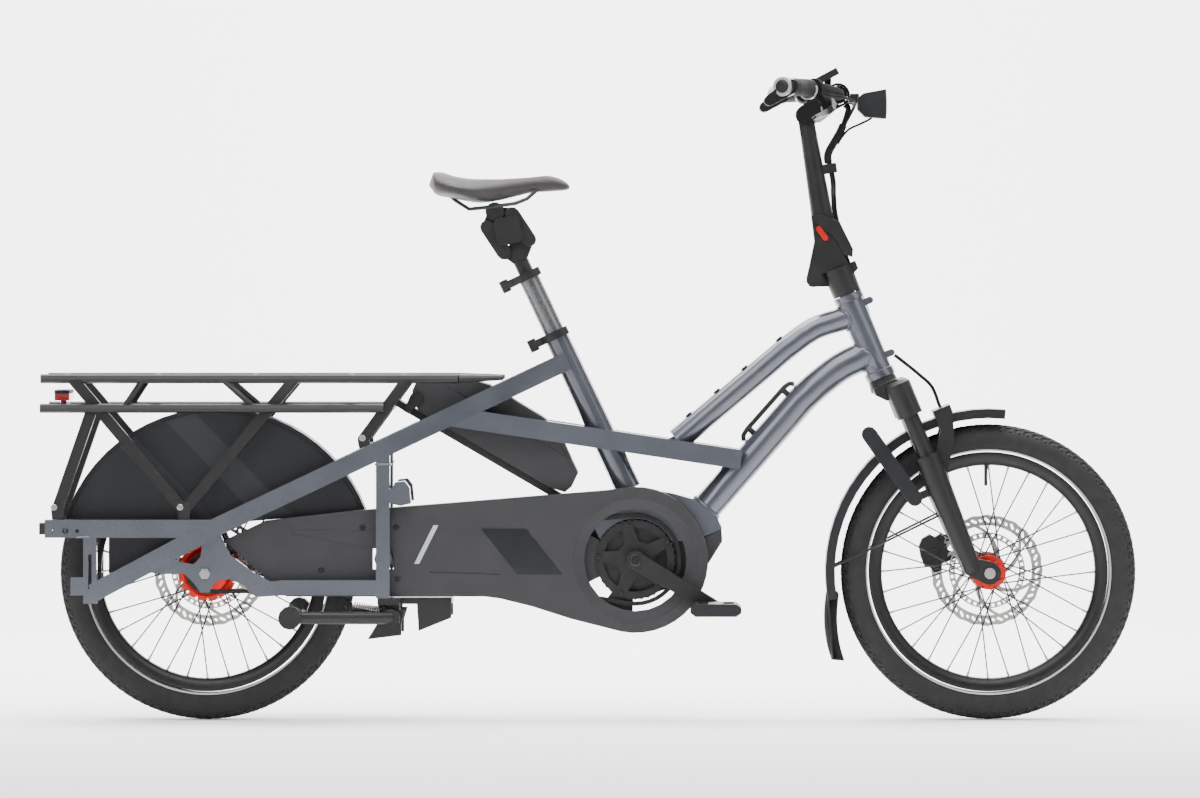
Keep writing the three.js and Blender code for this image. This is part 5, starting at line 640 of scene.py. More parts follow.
def smooth_edges():
    """Node group that shades as one surface what meets at less than SMOOTH_ANGLE, as the faceted tubes need."""
    group = bpy.data.node_groups.get("smooth_tubes")
    if group:
        return group
    group = bpy.data.node_groups.new("smooth_tubes", "GeometryNodeTree")
    group.interface.new_socket("Geometry", in_out="INPUT", socket_type="NodeSocketGeometry")
    group.interface.new_socket("Geometry", in_out="OUTPUT", socket_type="NodeSocketGeometry")
    source = add_node(group, "NodeGroupInput")
    faces = add_node(group, "GeometryNodeSetShadeSmooth", {"domain": "FACE"}, {"Shade Smooth": True},
                     {"Geometry": source.outputs[0]})
    angle = add_node(group, "GeometryNodeInputMeshEdgeAngle")
    sharp = add_node(group, "FunctionNodeCompare", {"data_type": "FLOAT", "operation": "GREATER_THAN"},
                     {"B": math.radians(SMOOTH_ANGLE)}, {"A": angle.outputs[0]})
    edges = add_node(group, "GeometryNodeSetShadeSmooth", {"domain": "EDGE"}, {"Shade Smooth": False},
                     {"Geometry": faces.outputs[0], "Selection": sharp.outputs[0]})
    plain = add_node(group, "GeometryNodeRemoveAttribute", None, {"Name": "custom_normal"},
                     {"Geometry": edges.outputs[0]})
    add_node(group, "NodeGroupOutput", links={"Geometry": plain.outputs[0]})
    return group


def dress(names, finish_name, bevel=0.0007):
    """Gives fixed nodes their finish, joins their loose facets, rounds their edges by the bevel in metres and
    smooths their tubes."""
    for name in names.split():
        node = frame["nodes"][name]
        node.data.materials.clear()
        node.data.materials.append(material(finish_name))
        weld = node.modifiers.new("join_facets", "WELD")
        weld.merge_threshold = 0.00001
        edge = node.modifiers.new("round_edges", "BEVEL")
        edge.width = bevel
        edge.segments = 2
        edge.limit_method = "ANGLE"
        edge.angle_limit = math.radians(50)
        smooth = node.modifiers.new("smooth_tubes", "NODES")
        smooth.node_group = smooth_edges()
        normals = node.modifiers.new("flat_faces", "WEIGHTED_NORMAL")
        normals.keep_sharp = True


class BIKE_OT_fixed_finishes(bpy.types.Operator):
    """Give every fixed node of the bike its finish, rounded edges and smooth tubes"""
    bl_idname = "bike.fixed_finishes"
    bl_label = "Fixed nodes"

    def execute(self, context):
        dress("front_frame", "frame")
        dress("rear_frame_right rear_frame_left", "frame", 0.003)
        dress("rear_bumper_bar rear_rack battery_cradle kickstand_bracket kickstand rear_caliper", "black")
        dress("fork_upper fork_lowers handlepost_base handlepost latch_lever chainring", "black")
        dress("brake_lever_right brake_lever_left seat_lever_lower seat_lever_upper seatpost", "black")
        dress("seat_link_rear seat_link_front seat_head crank_right crank_left", "black")
        dress("stem handlebar", "matt")
        dress("battery_case motor_unit chain_case_outer", "case")
        dress("rear_mudguard front_mudguard pedal_right pedal_left fork_unit display headlight", "guard")
        dress("wheel_guard_right wheel_guard_left", "film", 0.0005)
        dress("grip_right grip_left", "rubber")
        dress("rear_axle front_axle kickstand_spring", "steel", 0.0003)
        dress("seat_sleeve", "chrome")
        dress("latch_button", "red", 0.0003)
        dress("tail_light", "lens")
        return {"FINISHED"}


# Wheels

# Each wheel: its axle's X, the hub flanges' radius and Y, the radius of the hub's body, half the hub's length, the
# angle by which a spoke leads, and the number of holes in a flange.
WHEELS = {"front": (FRONT_AXLE_X, 30, 33, 15, 50, 0.85, 12), "rear": (0.0, 51, 24, 45, 40, 0.34, 16)}

RIM_PROFILE = [(209, -14.8), (209, -12.6), (203, -12.2), (200, -8), (198.5, 0), (200, 8), (203, 12.2), (209, 12.6),
               (209, 14.8), (207.5, 15), (197, 14.4), (190.5, 10.6), (187, 7), (186, 3), (186, -3), (187, -7),
               (190.5, -10.6), (197, -14.4), (207.5, -15)]
SPOKE_END = 189.0

TYRE_STEPS = 960
# Degrees round the tyre's section: the edges of the tread's rows, and the two shallow rings on the sidewall.
TREAD_ROWS = np.array([-52, -34, -15, 15, 34, 52.0])
SIDE_RINGS = (74, 112)


def tread_groove(angle, across, count):
    """Depth share of the tread's grooves: 1 in a groove, 0 on a block. Rows of blocks lie beside a middle rib,
    each row is cut across at a slant, and the rows are half a block apart."""
    row = np.searchsorted(TREAD_ROWS, across)
    row_gap = np.min(np.abs(across[..., None] - TREAD_ROWS[1:-1]), axis=-1)
    along = angle * count / (2 * np.pi) + 0.5 * (row % 2) + across * 0.012
    cross_gap = np.abs(along - np.round(along))
    long_groove = 1 - np.clip((row_gap - 1.6) / 1.2, 0, 1)
    cross_groove = 1 - np.clip((cross_gap - 0.1) / 0.07, 0, 1)
    on_rib = np.abs(across) < TREAD_ROWS[3]
    depth = np.maximum(long_groove, np.where(on_rib, 0.6 * (cross_gap < 0.12), cross_groove))
    return np.where(np.abs(across) > 56, 0, depth) * np.clip((58 - np.abs(across)) / 3, 0, 1)


def tyre_shell(centre_x, sizes):
    """A tyre: a circle of the section's radius goes round the axle, lowered by the tread's grooves, and is cut
    flat where it sits on the rim."""
    section, outer = sizes.tyre_section * 1000, sizes.tyre_radius * 1000
    across = np.concatenate([np.linspace(-129, -60, 12), np.linspace(-57, 57, 58), np.linspace(60, 129, 12)])
    angle = around(TYRE_STEPS)[:, None]
    everywhere = np.broadcast_to(across, (TYRE_STEPS, len(across)))
    lower = sizes.tread_depth * 1000 * tread_groove(angle, everywhere, sizes.tread_count)
    ring_height = 0.35
    proud = sum(ring_height * (np.abs(np.abs(across) - ring) < 3.4) for ring in SIDE_RINGS)
    reach = section - lower + np.where(np.abs(across) > 60, proud - ring_height, 0)
    lean = np.radians(across)
    radius = np.maximum(outer - section + reach * np.cos(lean), sizes.rim_radius * 1000 + 0.4)
    points = np.stack([centre_x + radius * np.cos(angle), reach * np.sin(lean), AXLE_Z + radius * np.sin(angle)],
                      axis=-1)
    return points.reshape(-1, 3), grid_faces(TYRE_STEPS, len(across), True, True).tolist()


def spoke_lines(centre_x, flange, flange_y, count, lead):
    """Ends of all spokes of a wheel: each meets the rim at an even angle and leaves its flange a lead away from
    that, forward and backward in turn, from the one flange and the other in turn."""
    k = np.arange(count)
    side = np.where(k % 2 == 0, -1.0, 1.0)
    way = np.where((k // 2) % 2 == 0, -1.0, 1.0)
    rim_angle = 2 * np.pi * k / count
    hub_angle = rim_angle + way * lead
    inner = np.stack([centre_x + flange * np.cos(hub_angle), side * (flange_y + way * 1.6),
                      AXLE_Z + flange * np.sin(hub_angle)], axis=-1)
    outer = np.stack([centre_x + SPOKE_END * np.cos(rim_angle), side * 2.5,
                      AXLE_Z + SPOKE_END * np.sin(rim_angle)], axis=-1)
    return inner, outer


def flange_ring(radius, bore, y, count):
    """One flange of a hub: a flat ring with a circle of holes just outside the middle of its width."""
    angle = 2 * np.pi * np.arange(count) / count
    holes = [circle(2.6, 10, centre) for centre in polar((radius + bore) / 2 + 1, angle)]
    return pierced(circle(radius, 64), [circle(bore, 40), *holes], y - 1.8, y + 1.8)


def rotor(radius, y):
    """A brake rotor: a wavy band with slanted slots on six arms that lean forward to a small carrier."""
    wave, inner, outer, half_arm, lead = 0.9, 33.0, 79.0, 4.2, 0.75
    angle = around(180)
    outline = polar(radius - wave + wave * np.cos(angle * 24), angle)
    r = np.linspace(inner, outer, 8)
    lean = lead * (r - inner) / (outer - inner)
    windows = []
    for k in range(6):
        first = k * np.pi / 3 + half_arm / r + lean
        last = (k + 1) * np.pi / 3 - half_arm / r + lean
        out = np.linspace(first[-1], last[-1], 10)[1:-1]
        back = np.linspace(last[0], first[0], 8)[1:-1]
        radii = np.concatenate([r, np.full(8, outer), r[::-1], np.full(6, inner)])
        windows.append(polar(radii, np.concatenate([first, out, last[::-1], back])))
    holes = [long_hole(polar(hole_radius, a + shift), length, 4.4, a + shift + 0.9)
             for a in around(24) for hole_radius, shift, length in ((88.3, 0, 11), (87.6, 0.13, 6.4))]
    return pierced(outline, [circle(18, 32), *windows, *holes], y - 0.9, y + 0.9)


def sensor_ring(y):
    """A thin ring with 36 windows inside the rotor, for the speed sensor."""
    sector = np.array([-0.045, 0.045, 0.045, -0.045])
    windows = [polar(np.array([59.5, 59.5, 64.5, 64.5]), 2 * np.pi * k / 36 + sector) for k in range(36)]
    return pierced(circle(67, 72), [circle(56.5, 72), *windows], y - 0.6, y + 0.6)


def make_tyre(end, centre, sizes):
    """The treaded tyre and the reflective band on both its sidewalls."""
    body = f"{end}_wheel"
    piece(f"{end}_tyre_tread", tyre_shell(centre[0], sizes), body, "tyre", smooth=60, stands_for=[f"{end}_tyre"])
    bands = [turned(centre, [(211.6, s * 20.4), (214.4, s * 23.3), (214.4, s * 22.6), (211.6, s * 19.4)], 192)
             for s in (-1, 1)]
    piece(f"{end}_tyre_band", bands, body, "band")


def make_rim_and_spokes(end, centre, sizes, flange, flange_y, lead):
    """The rim with its valve, and the spokes with a nipple at each one's outer end."""
    body = f"{end}_wheel"
    valve = spindle((centre[0] - 4, 0, AXLE_Z + 150), UP, [(2.2, 0), (3, 2), (3, 34), (3.4, 36.5)], 12)
    piece(f"{end}_rim_hoop", [turned(centre, RIM_PROFILE, 160), valve], body, "anodised", smooth=30,
          stands_for=[f"{end}_rim"])
    inner, outer = spoke_lines(centre[0], flange - 4, flange_y, sizes.spoke_count, lead)
    ahead = unit(outer - inner)
    piece(f"{end}_spokes", rods(inner, outer, sizes.spoke_radius * 1000), body, "anodised")
    piece(f"{end}_nipples", rods(outer - 11 * ahead, outer + 1 * ahead, 2.1), body, "steel")


def make_hub(end, centre, flange, flange_y, core, half, holes):
    """The red hub: a turned body that swells from its ends to its core, and a drilled flange on each side."""
    profile = [(8, -half), (13, -half), (15, -half + 3), (core, -flange_y + 6), (core, flange_y - 6),
               (15, half - 3), (13, half), (8, half)]
    bore = min(core - 1, flange - 8)
    flanges = [moved(flange_ring(flange, bore, s * flange_y, holes), centre) for s in (-1, 1)]
    piece(f"{end}_hub_body", [turned(centre, profile, 64), *flanges], f"{end}_wheel", "red",
          stands_for=[f"{end}_hub"])


def make_rotor(end, centre, sizes):
    """The brake rotor with its sensor ring, and the carrier that six bolts hold it on."""
    body = f"{end}_wheel"
    carrier = turned(centre, [(9, 42.9), (30, 42.9), (30, 41), (18, 38), (9, 38)], 48)
    bolt = spindle((0, 0, 0), ACROSS, [(3, 0), (3, 2.4), (1.6, 2.6), (1.6, 1.2)], 12)
    turns = [(x, 45, z, 0) for x, z in polar(24, around(6) + 0.3, (centre[0], AXLE_Z))]
    piece(f"{end}_rotor", [moved(rotor(sizes.rotor_radius * 1000, 44), centre), moved(sensor_ring(41.6), centre)],
          body, "steel", stands_for=[f"{end}_disc"])
    piece(f"{end}_rotor_carrier", [carrier, repeated(bolt, turns)], body, "anodised")


class BIKE_OT_wheels(bpy.types.Operator):
    """Make both wheels: treaded tyres on black rims, crossed spokes, red hubs and drilled rotors"""
    bl_idname = "bike.wheels"
    bl_label = "Wheels"

    def execute(self, context):
        sizes = context.scene.bike_sizes
        for end, (x, flange, flange_y, core, half, lead, holes) in WHEELS.items():
            centre = (x, 0.0, AXLE_Z)
            make_tyre(end, centre, sizes)
            make_rim_and_spokes(end, centre, sizes, flange, flange_y, lead)
            make_hub(end, centre, flange, flange_y, core, half, holes)
            make_rotor(end, centre, sizes)
        return {"FINISHED"}


# Drive

CHAIN_PITCH = 12.7
CHAIN_Y = -50.0
CHAINRING_RADIUS, SPROCKET_RADIUS = 76.9, 32.4
CHAIN_GUIDE = np.array([600.0, 228.0])

# Flat trim on the chain case, and a painted highlight on its slanted edge: its outline in (x, z), its outer and
# inner face in Y, and its finish.
CASE_TRIM_AND_HIGHLIGHT = {
    "case_pane": ([(479.4, 335.6), (558, 335.6), (621, 256.4), (542.4, 256.4)], -67.95, -67.25, "glass"),
    # A light grey strip painted along the slanted edge of the case's raised panel: a painted highlight where that
    # edge catches the light.
    "case_edge_highlight": ([(396.6, 341.6), (405.4, 341.6), (371.6, 274.4), (363.4, 274.4)], -67.9, -67.05, "band"),
    "case_seam": ([(389, 260.6), (470, 258.4), (512, 256.4), (512, 255.2), (470, 257), (389, 259.2)],
                  -68.35, -67.9, "glass"),
}
CASE_FACE_Y = -68
CASE_SCREW_PIXELS = ((364, 526), (398, 526), (399, 577), (323, 568), (231, 546))
# Degrees round the crank's axle that the inner lip of the chain case covers.
LIP_SECTORS = ((152, 206), (234, 267))


def chain_route():
    """Middle line of the chain as even points: round the chainring, back along the top, round the sprocket, and
    forward over the guide. Returns points (x, z) one pitch apart."""
    front, rear = CRANK_AXLE[[0, 2]], np.array([0.0, AXLE_Z])
    span = front - rear
    top = math.atan2(span[1], span[0]) + math.acos((SPROCKET_RADIUS - CHAINRING_RADIUS) / np.linalg.norm(span))

    def touch(centre, radius, side):
        reach = CHAIN_GUIDE - centre
        return math.atan2(reach[1], reach[0]) + side * math.acos(radius / np.linalg.norm(reach))

    low_front, low_rear = touch(front, CHAINRING_RADIUS, 1), touch(rear, SPROCKET_RADIUS, -1) + 2 * math.pi
    low_front -= 0 if low_front < top else 2 * math.pi
    low_rear += 0 if low_rear > top else 2 * math.pi
    loop = np.concatenate([polar(CHAINRING_RADIUS, np.linspace(low_front, top, 60), front),
                           polar(SPROCKET_RADIUS, np.linspace(top, low_rear, 40), rear), CHAIN_GUIDE[None]])
    return spaced(loop, lambda length: 2 * round(length / (2 * CHAIN_PITCH)))[0]


def link_plates(width, gap_y):
    """Two side plates of one link, shaped like an eight, from pin to pin along X."""
    angle, half, end = around(14), CHAIN_PITCH / 2, 3.9
    waist = 1 - 0.28 * np.exp(-(np.cos(angle) * 6) ** 2)
    outline = np.stack([half + half * np.sign(np.cos(angle)) + end * np.cos(angle), end * np.sin(angle) * waist],
                       axis=-1)
    return joined([pierced(outline, [], y, y + width) for y in (gap_y, -gap_y - width)])


def make_chain():
    """Outer and inner links in turn along the route, each turned to the next pin, and a roller at every pin."""
    route = chain_route()
    ahead = np.roll(route, -1, axis=0) - route
    turn = np.arctan2(ahead[:, 1], ahead[:, 0])
    rows = np.stack([route[:, 0], np.full(len(route), CHAIN_Y), route[:, 1], turn], axis=-1)
    profile = [(1.8, 0), (1.8, 1.9), (3.8, 2.0), (3.8, 5.8), (1.8, 5.9), (1.8, 7.8)]
    roller = spindle((0, -3.9, 0), ACROSS, profile, 10)
    links = [repeated(link_plates(0.9, 2.9), rows[::2]), repeated(link_plates(0.9, 1.9), rows[1::2])]
    piece("chain_links", [*links, repeated(roller, rows)], "frame", "chain", stands_for=["drive_chain"])


class BIKE_OT_drive(bpy.types.Operator):
    """Make the chain, the trim, a painted highlight, the screws and inner lip of its case, and the bolts of the
    cranks and spider
    """
    bl_idname = "bike.drive"
    bl_label = "Drive"

    def execute(self, context):
        make_chain()
        for name, (outline, outer_y, inner_y, finish_name) in CASE_TRIM_AND_HIGHLIGHT.items():
            piece(name, pierced(outline, [], outer_y, inner_y), "frame", finish_name)
        screw = spindle((0, 0, 0), -ACROSS, [(5.2, -1.0), (5.2, 0.9), (4.4, 1.6), (2.2, 1.7), (2.0, 0.5)], 18)
        places = [at_pixel(*pixel) for pixel in CASE_SCREW_PIXELS]
        piece("case_screws", repeated(screw, [(x, CASE_FACE_Y, z, 0) for x, z in places]), "frame", "anodised")
        cap = spindle(CRANK_AXLE - 84 * ACROSS, -ACROSS, [(11, -1), (11, 1.5), (9, 2.6), (6, 2.6), (5.6, 0.5)])
        piece("crank_bolts", both_sides([cap]), "crankset", "anodised")
        bolt = spindle((64, -56.3, 0), -ACROSS, [(4.4, -1), (4.4, 0.9), (3.6, 1.3), (1.9, 1.3), (1.7, 0.3)], 18)
        turns = [(*CRANK_AXLE, math.radians(72 * (k + 0.43))) for k in range(5)]
        piece("spider_bolts", repeated(bolt, turns), "crankset", "anodised")
        lips = [pierced(ring_sector(CRANK_AXLE[[0, 2]], 68, 90.5, start, end), [], -44.2, -42.3)
                for start, end in LIP_SECTORS]
        piece("case_inner_lip", lips, "frame", "case")
        return {"FINISHED"}


# Frame details

HEAD_TUBE_RADIUS = 24
# Where a round tube meets the head tube: a point on it, its direction and its radius.
HEAD_JOINTS = (((1134.0, 0, 705.5), (-70, 0, -19), 21), ((1161.1, 0, 639.2), (-48, 0, -18), 23.8))
# Where an upright meets a beam on either side: the place, and half the weld's height.
UPRIGHT_JOINTS = (((309.4, 80.3, 448), 12.3), ((-211, 80.3, 322), 11.8))
# Along and square to the top tube, from a point on its middle line.
TOP_TUBE_START = np.array([821.0, 0.0, 488.0])
TOP_TUBE_AHEAD = np.array([0.7667, 0.0, 0.642])
TOP_TUBE_NORMAL = np.array([-0.642, 0.0, 0.7667])
# The bar above the down tube: distance along the tube and height over it.
BAR_ROUTE = ((128, 2), (134, 9), (146, 11.5), (196, 11.5), (246, 11.5), (256, 9), (261, 2))
FRAME_BOLTS = ((-262, -89.1, 373.6, 0), (-43, -89.1, 373.6, 0), (273.9, -89.1, 493.8, 0), (318.5, -91.9, 188, 0))


def weld_path(axis_point, axis, radius, start, direction, tube_radius):
    """Closed line where a round tube meets another: each line along the tube is followed until its distance from
    the other's axis is that one's radius."""
    axis, direction, axis_point = unit(axis), unit(direction), np.array(axis_point, float)
    other = np.cross(direction, ACROSS)
    t = around(96)[:, None]
    base = np.array(start, float) + tube_radius * (np.cos(t) * ACROSS + np.sin(t) * other) - axis_point
    flat = base - (base @ axis)[:, None] * axis
    slope = direction - (direction @ axis) * axis
    a, b, c = slope @ slope, 2 * flat @ slope, np.einsum("ij,ij->i", flat, flat) - radius ** 2
    root = (-b + np.sqrt(np.maximum(b * b - 4 * a * c, 0))) / (2 * a)
    return base + axis_point + root[:, None] * direction


def bead(path, radius):
    """A weld: a tube along a closed line whose radius swells and shrinks with each drop of weld, 3.4 mm long."""
    even, length = spaced(np.array(path, float), lambda length: max(60, int(length / 0.9)))
    drops = max(8, round(length / 3.4))
    share = np.arange(len(even)) / len(even)
    return hose(even, radius * (1 + 0.16 * np.abs(np.sin(np.pi * drops * share))), 8, True)


def band_path(middle, along, half_width, half_height):
    """Closed line round a flat-sided tube: a rounded rectangle across the tube's direction."""
    along = unit(along)
    c, s = squared(around(72)[:, None], 0.25)
    return np.array(middle, float) + c * half_width * ACROSS + s * half_height * np.cross(along, ACROSS)


def make_welds(radius):
    """Beads round the joints of the head tube and of the uprights, and a thicker one at the down tube's foot."""
    welds = [bead(weld_path(HEAD_FOOT, HEAD_UP, HEAD_TUBE_RADIUS, *joint), radius) for joint in HEAD_JOINTS]
    for side in (-1, 1):
        welds += [bead(band_path((x, side * y, z), -UP, 12.3, height), 1.9)
                  for (x, y, z), height in UPRIGHT_JOINTS]
    piece("frame_welds", welds, "frame", "frame", smooth=60)
    t = around(96)[:, None]
    tube = np.array([0.6633, 0, 0.7484])
    ring = (DOWN_TUBE_FOOT - 2.2 * tube + 25.4 * np.cos(t) * ACROSS
            + 25.4 * np.sin(t) * np.array([-tube[2], 0, tube[0]]))
    piece("down_tube_weld", bead(ring, 3.8), "frame", "frame", smooth=60)


def make_tube_fittings():
    """The bosses along the top tube, and the bar on two feet above the down tube."""
    boss = [(6.4, 0), (6.4, 2.2), (5.2, 3.0), (3.2, 3.0), (2.8, 1.4)]
    bosses = [spindle(TOP_TUBE_START + TOP_TUBE_AHEAD * along + TOP_TUBE_NORMAL * 20.4, TOP_TUBE_NORMAL, boss, 18)
              for along in (44, 108, 171, 250)]
    piece("top_tube_bosses", bosses, "frame", "anodised")
    line = unit(DOWN_TUBE_TOP - DOWN_TUBE_FOOT)
    upward = np.array([-line[2], 0, line[0]])
    base = DOWN_TUBE_FOOT + upward * 26.2
    bar = hose([base + line * along + upward * height for along, height in BAR_ROUTE], 4.2)
    feet = [spindle(base + line * along, upward, [(5.2, -0.8), (5.2, 9), (4.2, 12)], 14) for along in (150, 240)]
    piece("down_tube_bar", [bar, *feet], "frame", "anodised")


class BIKE_OT_frame_details(bpy.types.Operator):
    """Make the frame's welds, the bosses on the top tube, the bar above the down tube and the small bolts"""
    bl_idname = "bike.frame_details"
    bl_label = "Frame details"

    def execute(self, context):
        make_welds(context.scene.bike_sizes.weld_radius * 1000)
        make_tube_fittings()
        bolt = spindle((0, 0, 0), -ACROSS, [(5.6, -1), (5.6, 2.6), (4.8, 3.3), (2.8, 3.3), (2.6, 1.4)], 18)
        piece("frame_bolts", both_sides([repeated(bolt, FRAME_BOLTS)]), "frame", "steel")
        return {"FINISHED"}


# Guards and front caliper

FLAP_LINE = [(1083.5, 0, 222), (1080.5, 0, 190), (1081, 0, 160), (1085.5, 0, 130), (1093, 0, 104)]

# The caliper's outlines, in millimetres ahead of and along the steering axis.
CALIPER_CHEEK = [(-54, -318), (-50, -300), (-40, -290), (-24, -288), (-18, -296), (-6, -294), (-2, -304),
                 (-8, -314), (-4, -326), (-12, -338), (-24, -342), (-28, -354), (-42, -354), (-46, -342),
                 (-54, -336)]
CALIPER_BRIDGE = [(-54, -318), (-50, -300), (-42, -292), (-42, -344), (-46, -342), (-54, -336)]
CALIPER_MOUNT = [(-28, -345), (-28, -297), (4.6, -300), (4.6, -312), (-6, -318), (-6, -326), (4.6, -334),
                 (4.6, -345)]
ADJUSTER = [(9, -1), (9, 3.6), (7.6, 5), (3, 5), (2.6, 3)]
CALIPER_BOLT = [(4.2, -1), (4.2, 3), (3.4, 3.6), (1.8, 3.6), (1.6, 2)]


def cupped_flap(centre_line, half_width, cup, thickness):
    """A flap of rubber: at each point of its middle line an arc runs across, and its edges bend forward by the
    cup."""
    v = np.linspace(-1, 1, 15)
    front = np.stack([cup * v ** 2, half_width * v], axis=-1)
    section = np.concatenate([front, (front - [thickness, 0])[::-1]])
    line = np.array(centre_line, float)
    points = line[:, None] + np.stack([section[:, 0], section[:, 1], 0 * section[:, 0]], axis=-1)[None]
    return points.reshape(-1, 3), tube_faces(len(line), len(section))


def caliper_shells():
    """The front caliper: two cheeks of one irregular outline on both sides of the disc, a bridge behind the disc,
    a forked mount to the leg, and an adjuster with two bolts."""
    def flat(points):
        return from_axes(HEAD_FOOT, HEAD_FORWARD, HEAD_UP, [(f, 0, u) for f, u in points])[:, [0, 2]]

    shells = [pierced(flat(outline), [], y0, y1)
              for outline, y0, y1 in ((CALIPER_CHEEK, 29.5, 41), (CALIPER_CHEEK, 47, 58),
                                      (CALIPER_BRIDGE, 40.5, 47.5), (CALIPER_MOUNT, 47.5, 62))]
    for at, profile in (((-30, -322), ADJUSTER), ((-14, -303), CALIPER_BOLT), ((-36, -346), CALIPER_BOLT)):
        x, z = flat([at])[0]
        shells.append(spindle((x, 29.5, z), -ACROSS, profile))
    return shells


class BIKE_OT_guard_details(bpy.types.Operator):
    """Make the rubber flap of the front guard, the tail lamp's housing and the front caliper"""
    bl_idname = "bike.guard_details"
    bl_label = "Guard details"

    def execute(self, context):
        flap = cupped_flap(smooth_path(FLAP_LINE, 25), 33, 20, 2.4)
        piece("front_flap", flap, "fork_slider", "rubber")
        piece("tail_lamp_hood", tilted_box((-252, 0, 570.2), AHEAD, UP, (30, 86, 6), 0.35), "frame", "guard")
        piece("caliper_parts", caliper_shells(), "fork_slider", "black", stands_for=["front_caliper"])
        return {"FINISHED"}


# Bars and cables

BUNDLE_ROUTE = [(1114.2, 0, 1074.2), (1119.7, 0, 1066.2), (1107.5, 0, 1029.8), (1085.2, 0, 988.5),
                (1089.4, 0, 963.4), (1093.6, 0, 938.2), (1095, 29.5, 912), (1099.5, 36, 875.2),
                (1120.4, 34, 796.1), (1153.9, 39.1, 711.9), (1151.1, 25.9, 699.9), (1148.9, 21.5, 699.1)]
HOSE_ROUTE = [(1201.5, 0, 637), (1218, 0, 624.1), (1243, 0, 604), (1266.7, 0, 581.4), (1278.5, 0, 552.5),
              (1281.4, 0, 545.3)]
LAMP_ROUTE = [(1163, -7, 1062), (1160, -7, 1051), (1141, -6, 1041), (1122, -5, 1032), (1109, -3, 1018),
              (1102, -3, 1006)]
BRAKE_ROUTE = [(1071, -168, 1092), (1083, -160, 1088), (1108, -132, 1085), (1128, -90, 1079), (1131, -45, 1073),
               (1124, -12, 1058), (1112, -4, 1035)]
# The bundle's points are split where the bars tilt, the post folds and the fork turns: the first and last point of
# each length, and the bodies at its two ends.
BUNDLE_POINTS = 265
BUNDLE_SPANS = ((0, 108, "bars", "handlepost_body"), (108, 192, "handlepost_body", "steering"),
                (192, 264, "steering", "frame"))
# The distance of each hose of the bundle from its middle line.
BUNDLE_OFFSET = 2.9


def cord_piece(name, path, radius, first, second=None):
    """A rubber cable along a path, on the first body; one that runs between two bodies is on neither, with its
    place baked into its points.
    """
    made = piece(name, hose(path, radius), None if second else first, "rubber")
    line = place(path)
    if second:
        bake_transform(made)
    return made


def make_bundle(radius):
    """Three hoses side by side about one route, each in lengths that each span one joint, with a spiral wrap that
    holds them below the bar."""
    route = smooth_path(BUNDLE_ROUTE, BUNDLE_POINTS)
    side, other = path_sides(route)
    for k in range(3):
        angle = 2 * math.pi * k / 3 + 0.5
        line = route + BUNDLE_OFFSET * (math.cos(angle) * side + math.sin(angle) * other)
        for number, (start, end, upper, lower) in enumerate(BUNDLE_SPANS):
            name = f"bar_hose_{'abc'[k]}{number + 1}"
            cord_piece(name, line[start:end + 1:2], radius, upper, lower)
    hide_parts("bar_cables")
    wrapped = smooth_path(BUNDLE_ROUTE, 1321)[210:430]
    turns = np.linspace(0, 18 * np.pi, len(wrapped))
    wrap = piece("cable_wrap", hose(wrapped, 6.6 + 0.55 * np.abs(np.sin(turns)), 16), None, "rubber")
    start, end, upper, lower = BUNDLE_SPANS[0]
    place(route[[start, end]])
    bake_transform(wrap)


def make_single_cables(radius):
    """The hose from the frame to the fork, the headlight's cable and the two brake hoses."""
    front = smooth_path(HOSE_ROUTE, 61)
    upper = cord_piece("front_hose_upper", front[:27], 3.0, "frame", "steering")
    cord_piece("front_hose_lower", front[26:], 3.0, "steering", "fork_slider")
    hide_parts("front_hose")
    cord_piece("lamp_cable", smooth_path(LAMP_ROUTE, 41), 2.1, "bars")
    right = smooth_path(BRAKE_ROUTE, 61)
    cord_piece("brake_hose_right", right, radius, "bars")
    cord_piece("brake_hose_left", right * [1, -1, 1], radius, "bars")


class BIKE_OT_cords(bpy.types.Operator):
    """Make the cables from the bar and the hose to the fork"""
    bl_idname = "bike.cords"
    bl_label = "Cables"

    def execute(self, context):
        radius = context.scene.bike_sizes.cable_radius * 1000
        make_bundle(radius)
        make_single_cables(radius)
        return {"FINISHED"}


def tilted_box(centre, forward, up, sizes, power):
    """A slab with rounded corners in a leaning frame: a rounded rectangle of the first two sizes, drawn out by the
    third. Each ring is a share of the rectangle at a share of the height."""
    c, s = squared(around(48), power)
    x, y = c * sizes[0] / 2, s * sizes[1] / 2
    points = [from_axes(np.array(centre, float), forward, up,
                        np.stack([x * share, y * share, 0 * x + height * sizes[2]], axis=-1))
              for share, height in ((0.0, 0.0), (1.0, 0.0), (1.0, 0.8), (0.965, 1.0), (0.0, 1.0))]
    return np.concatenate(points), grid_faces(len(points), len(x), False, True).tolist()


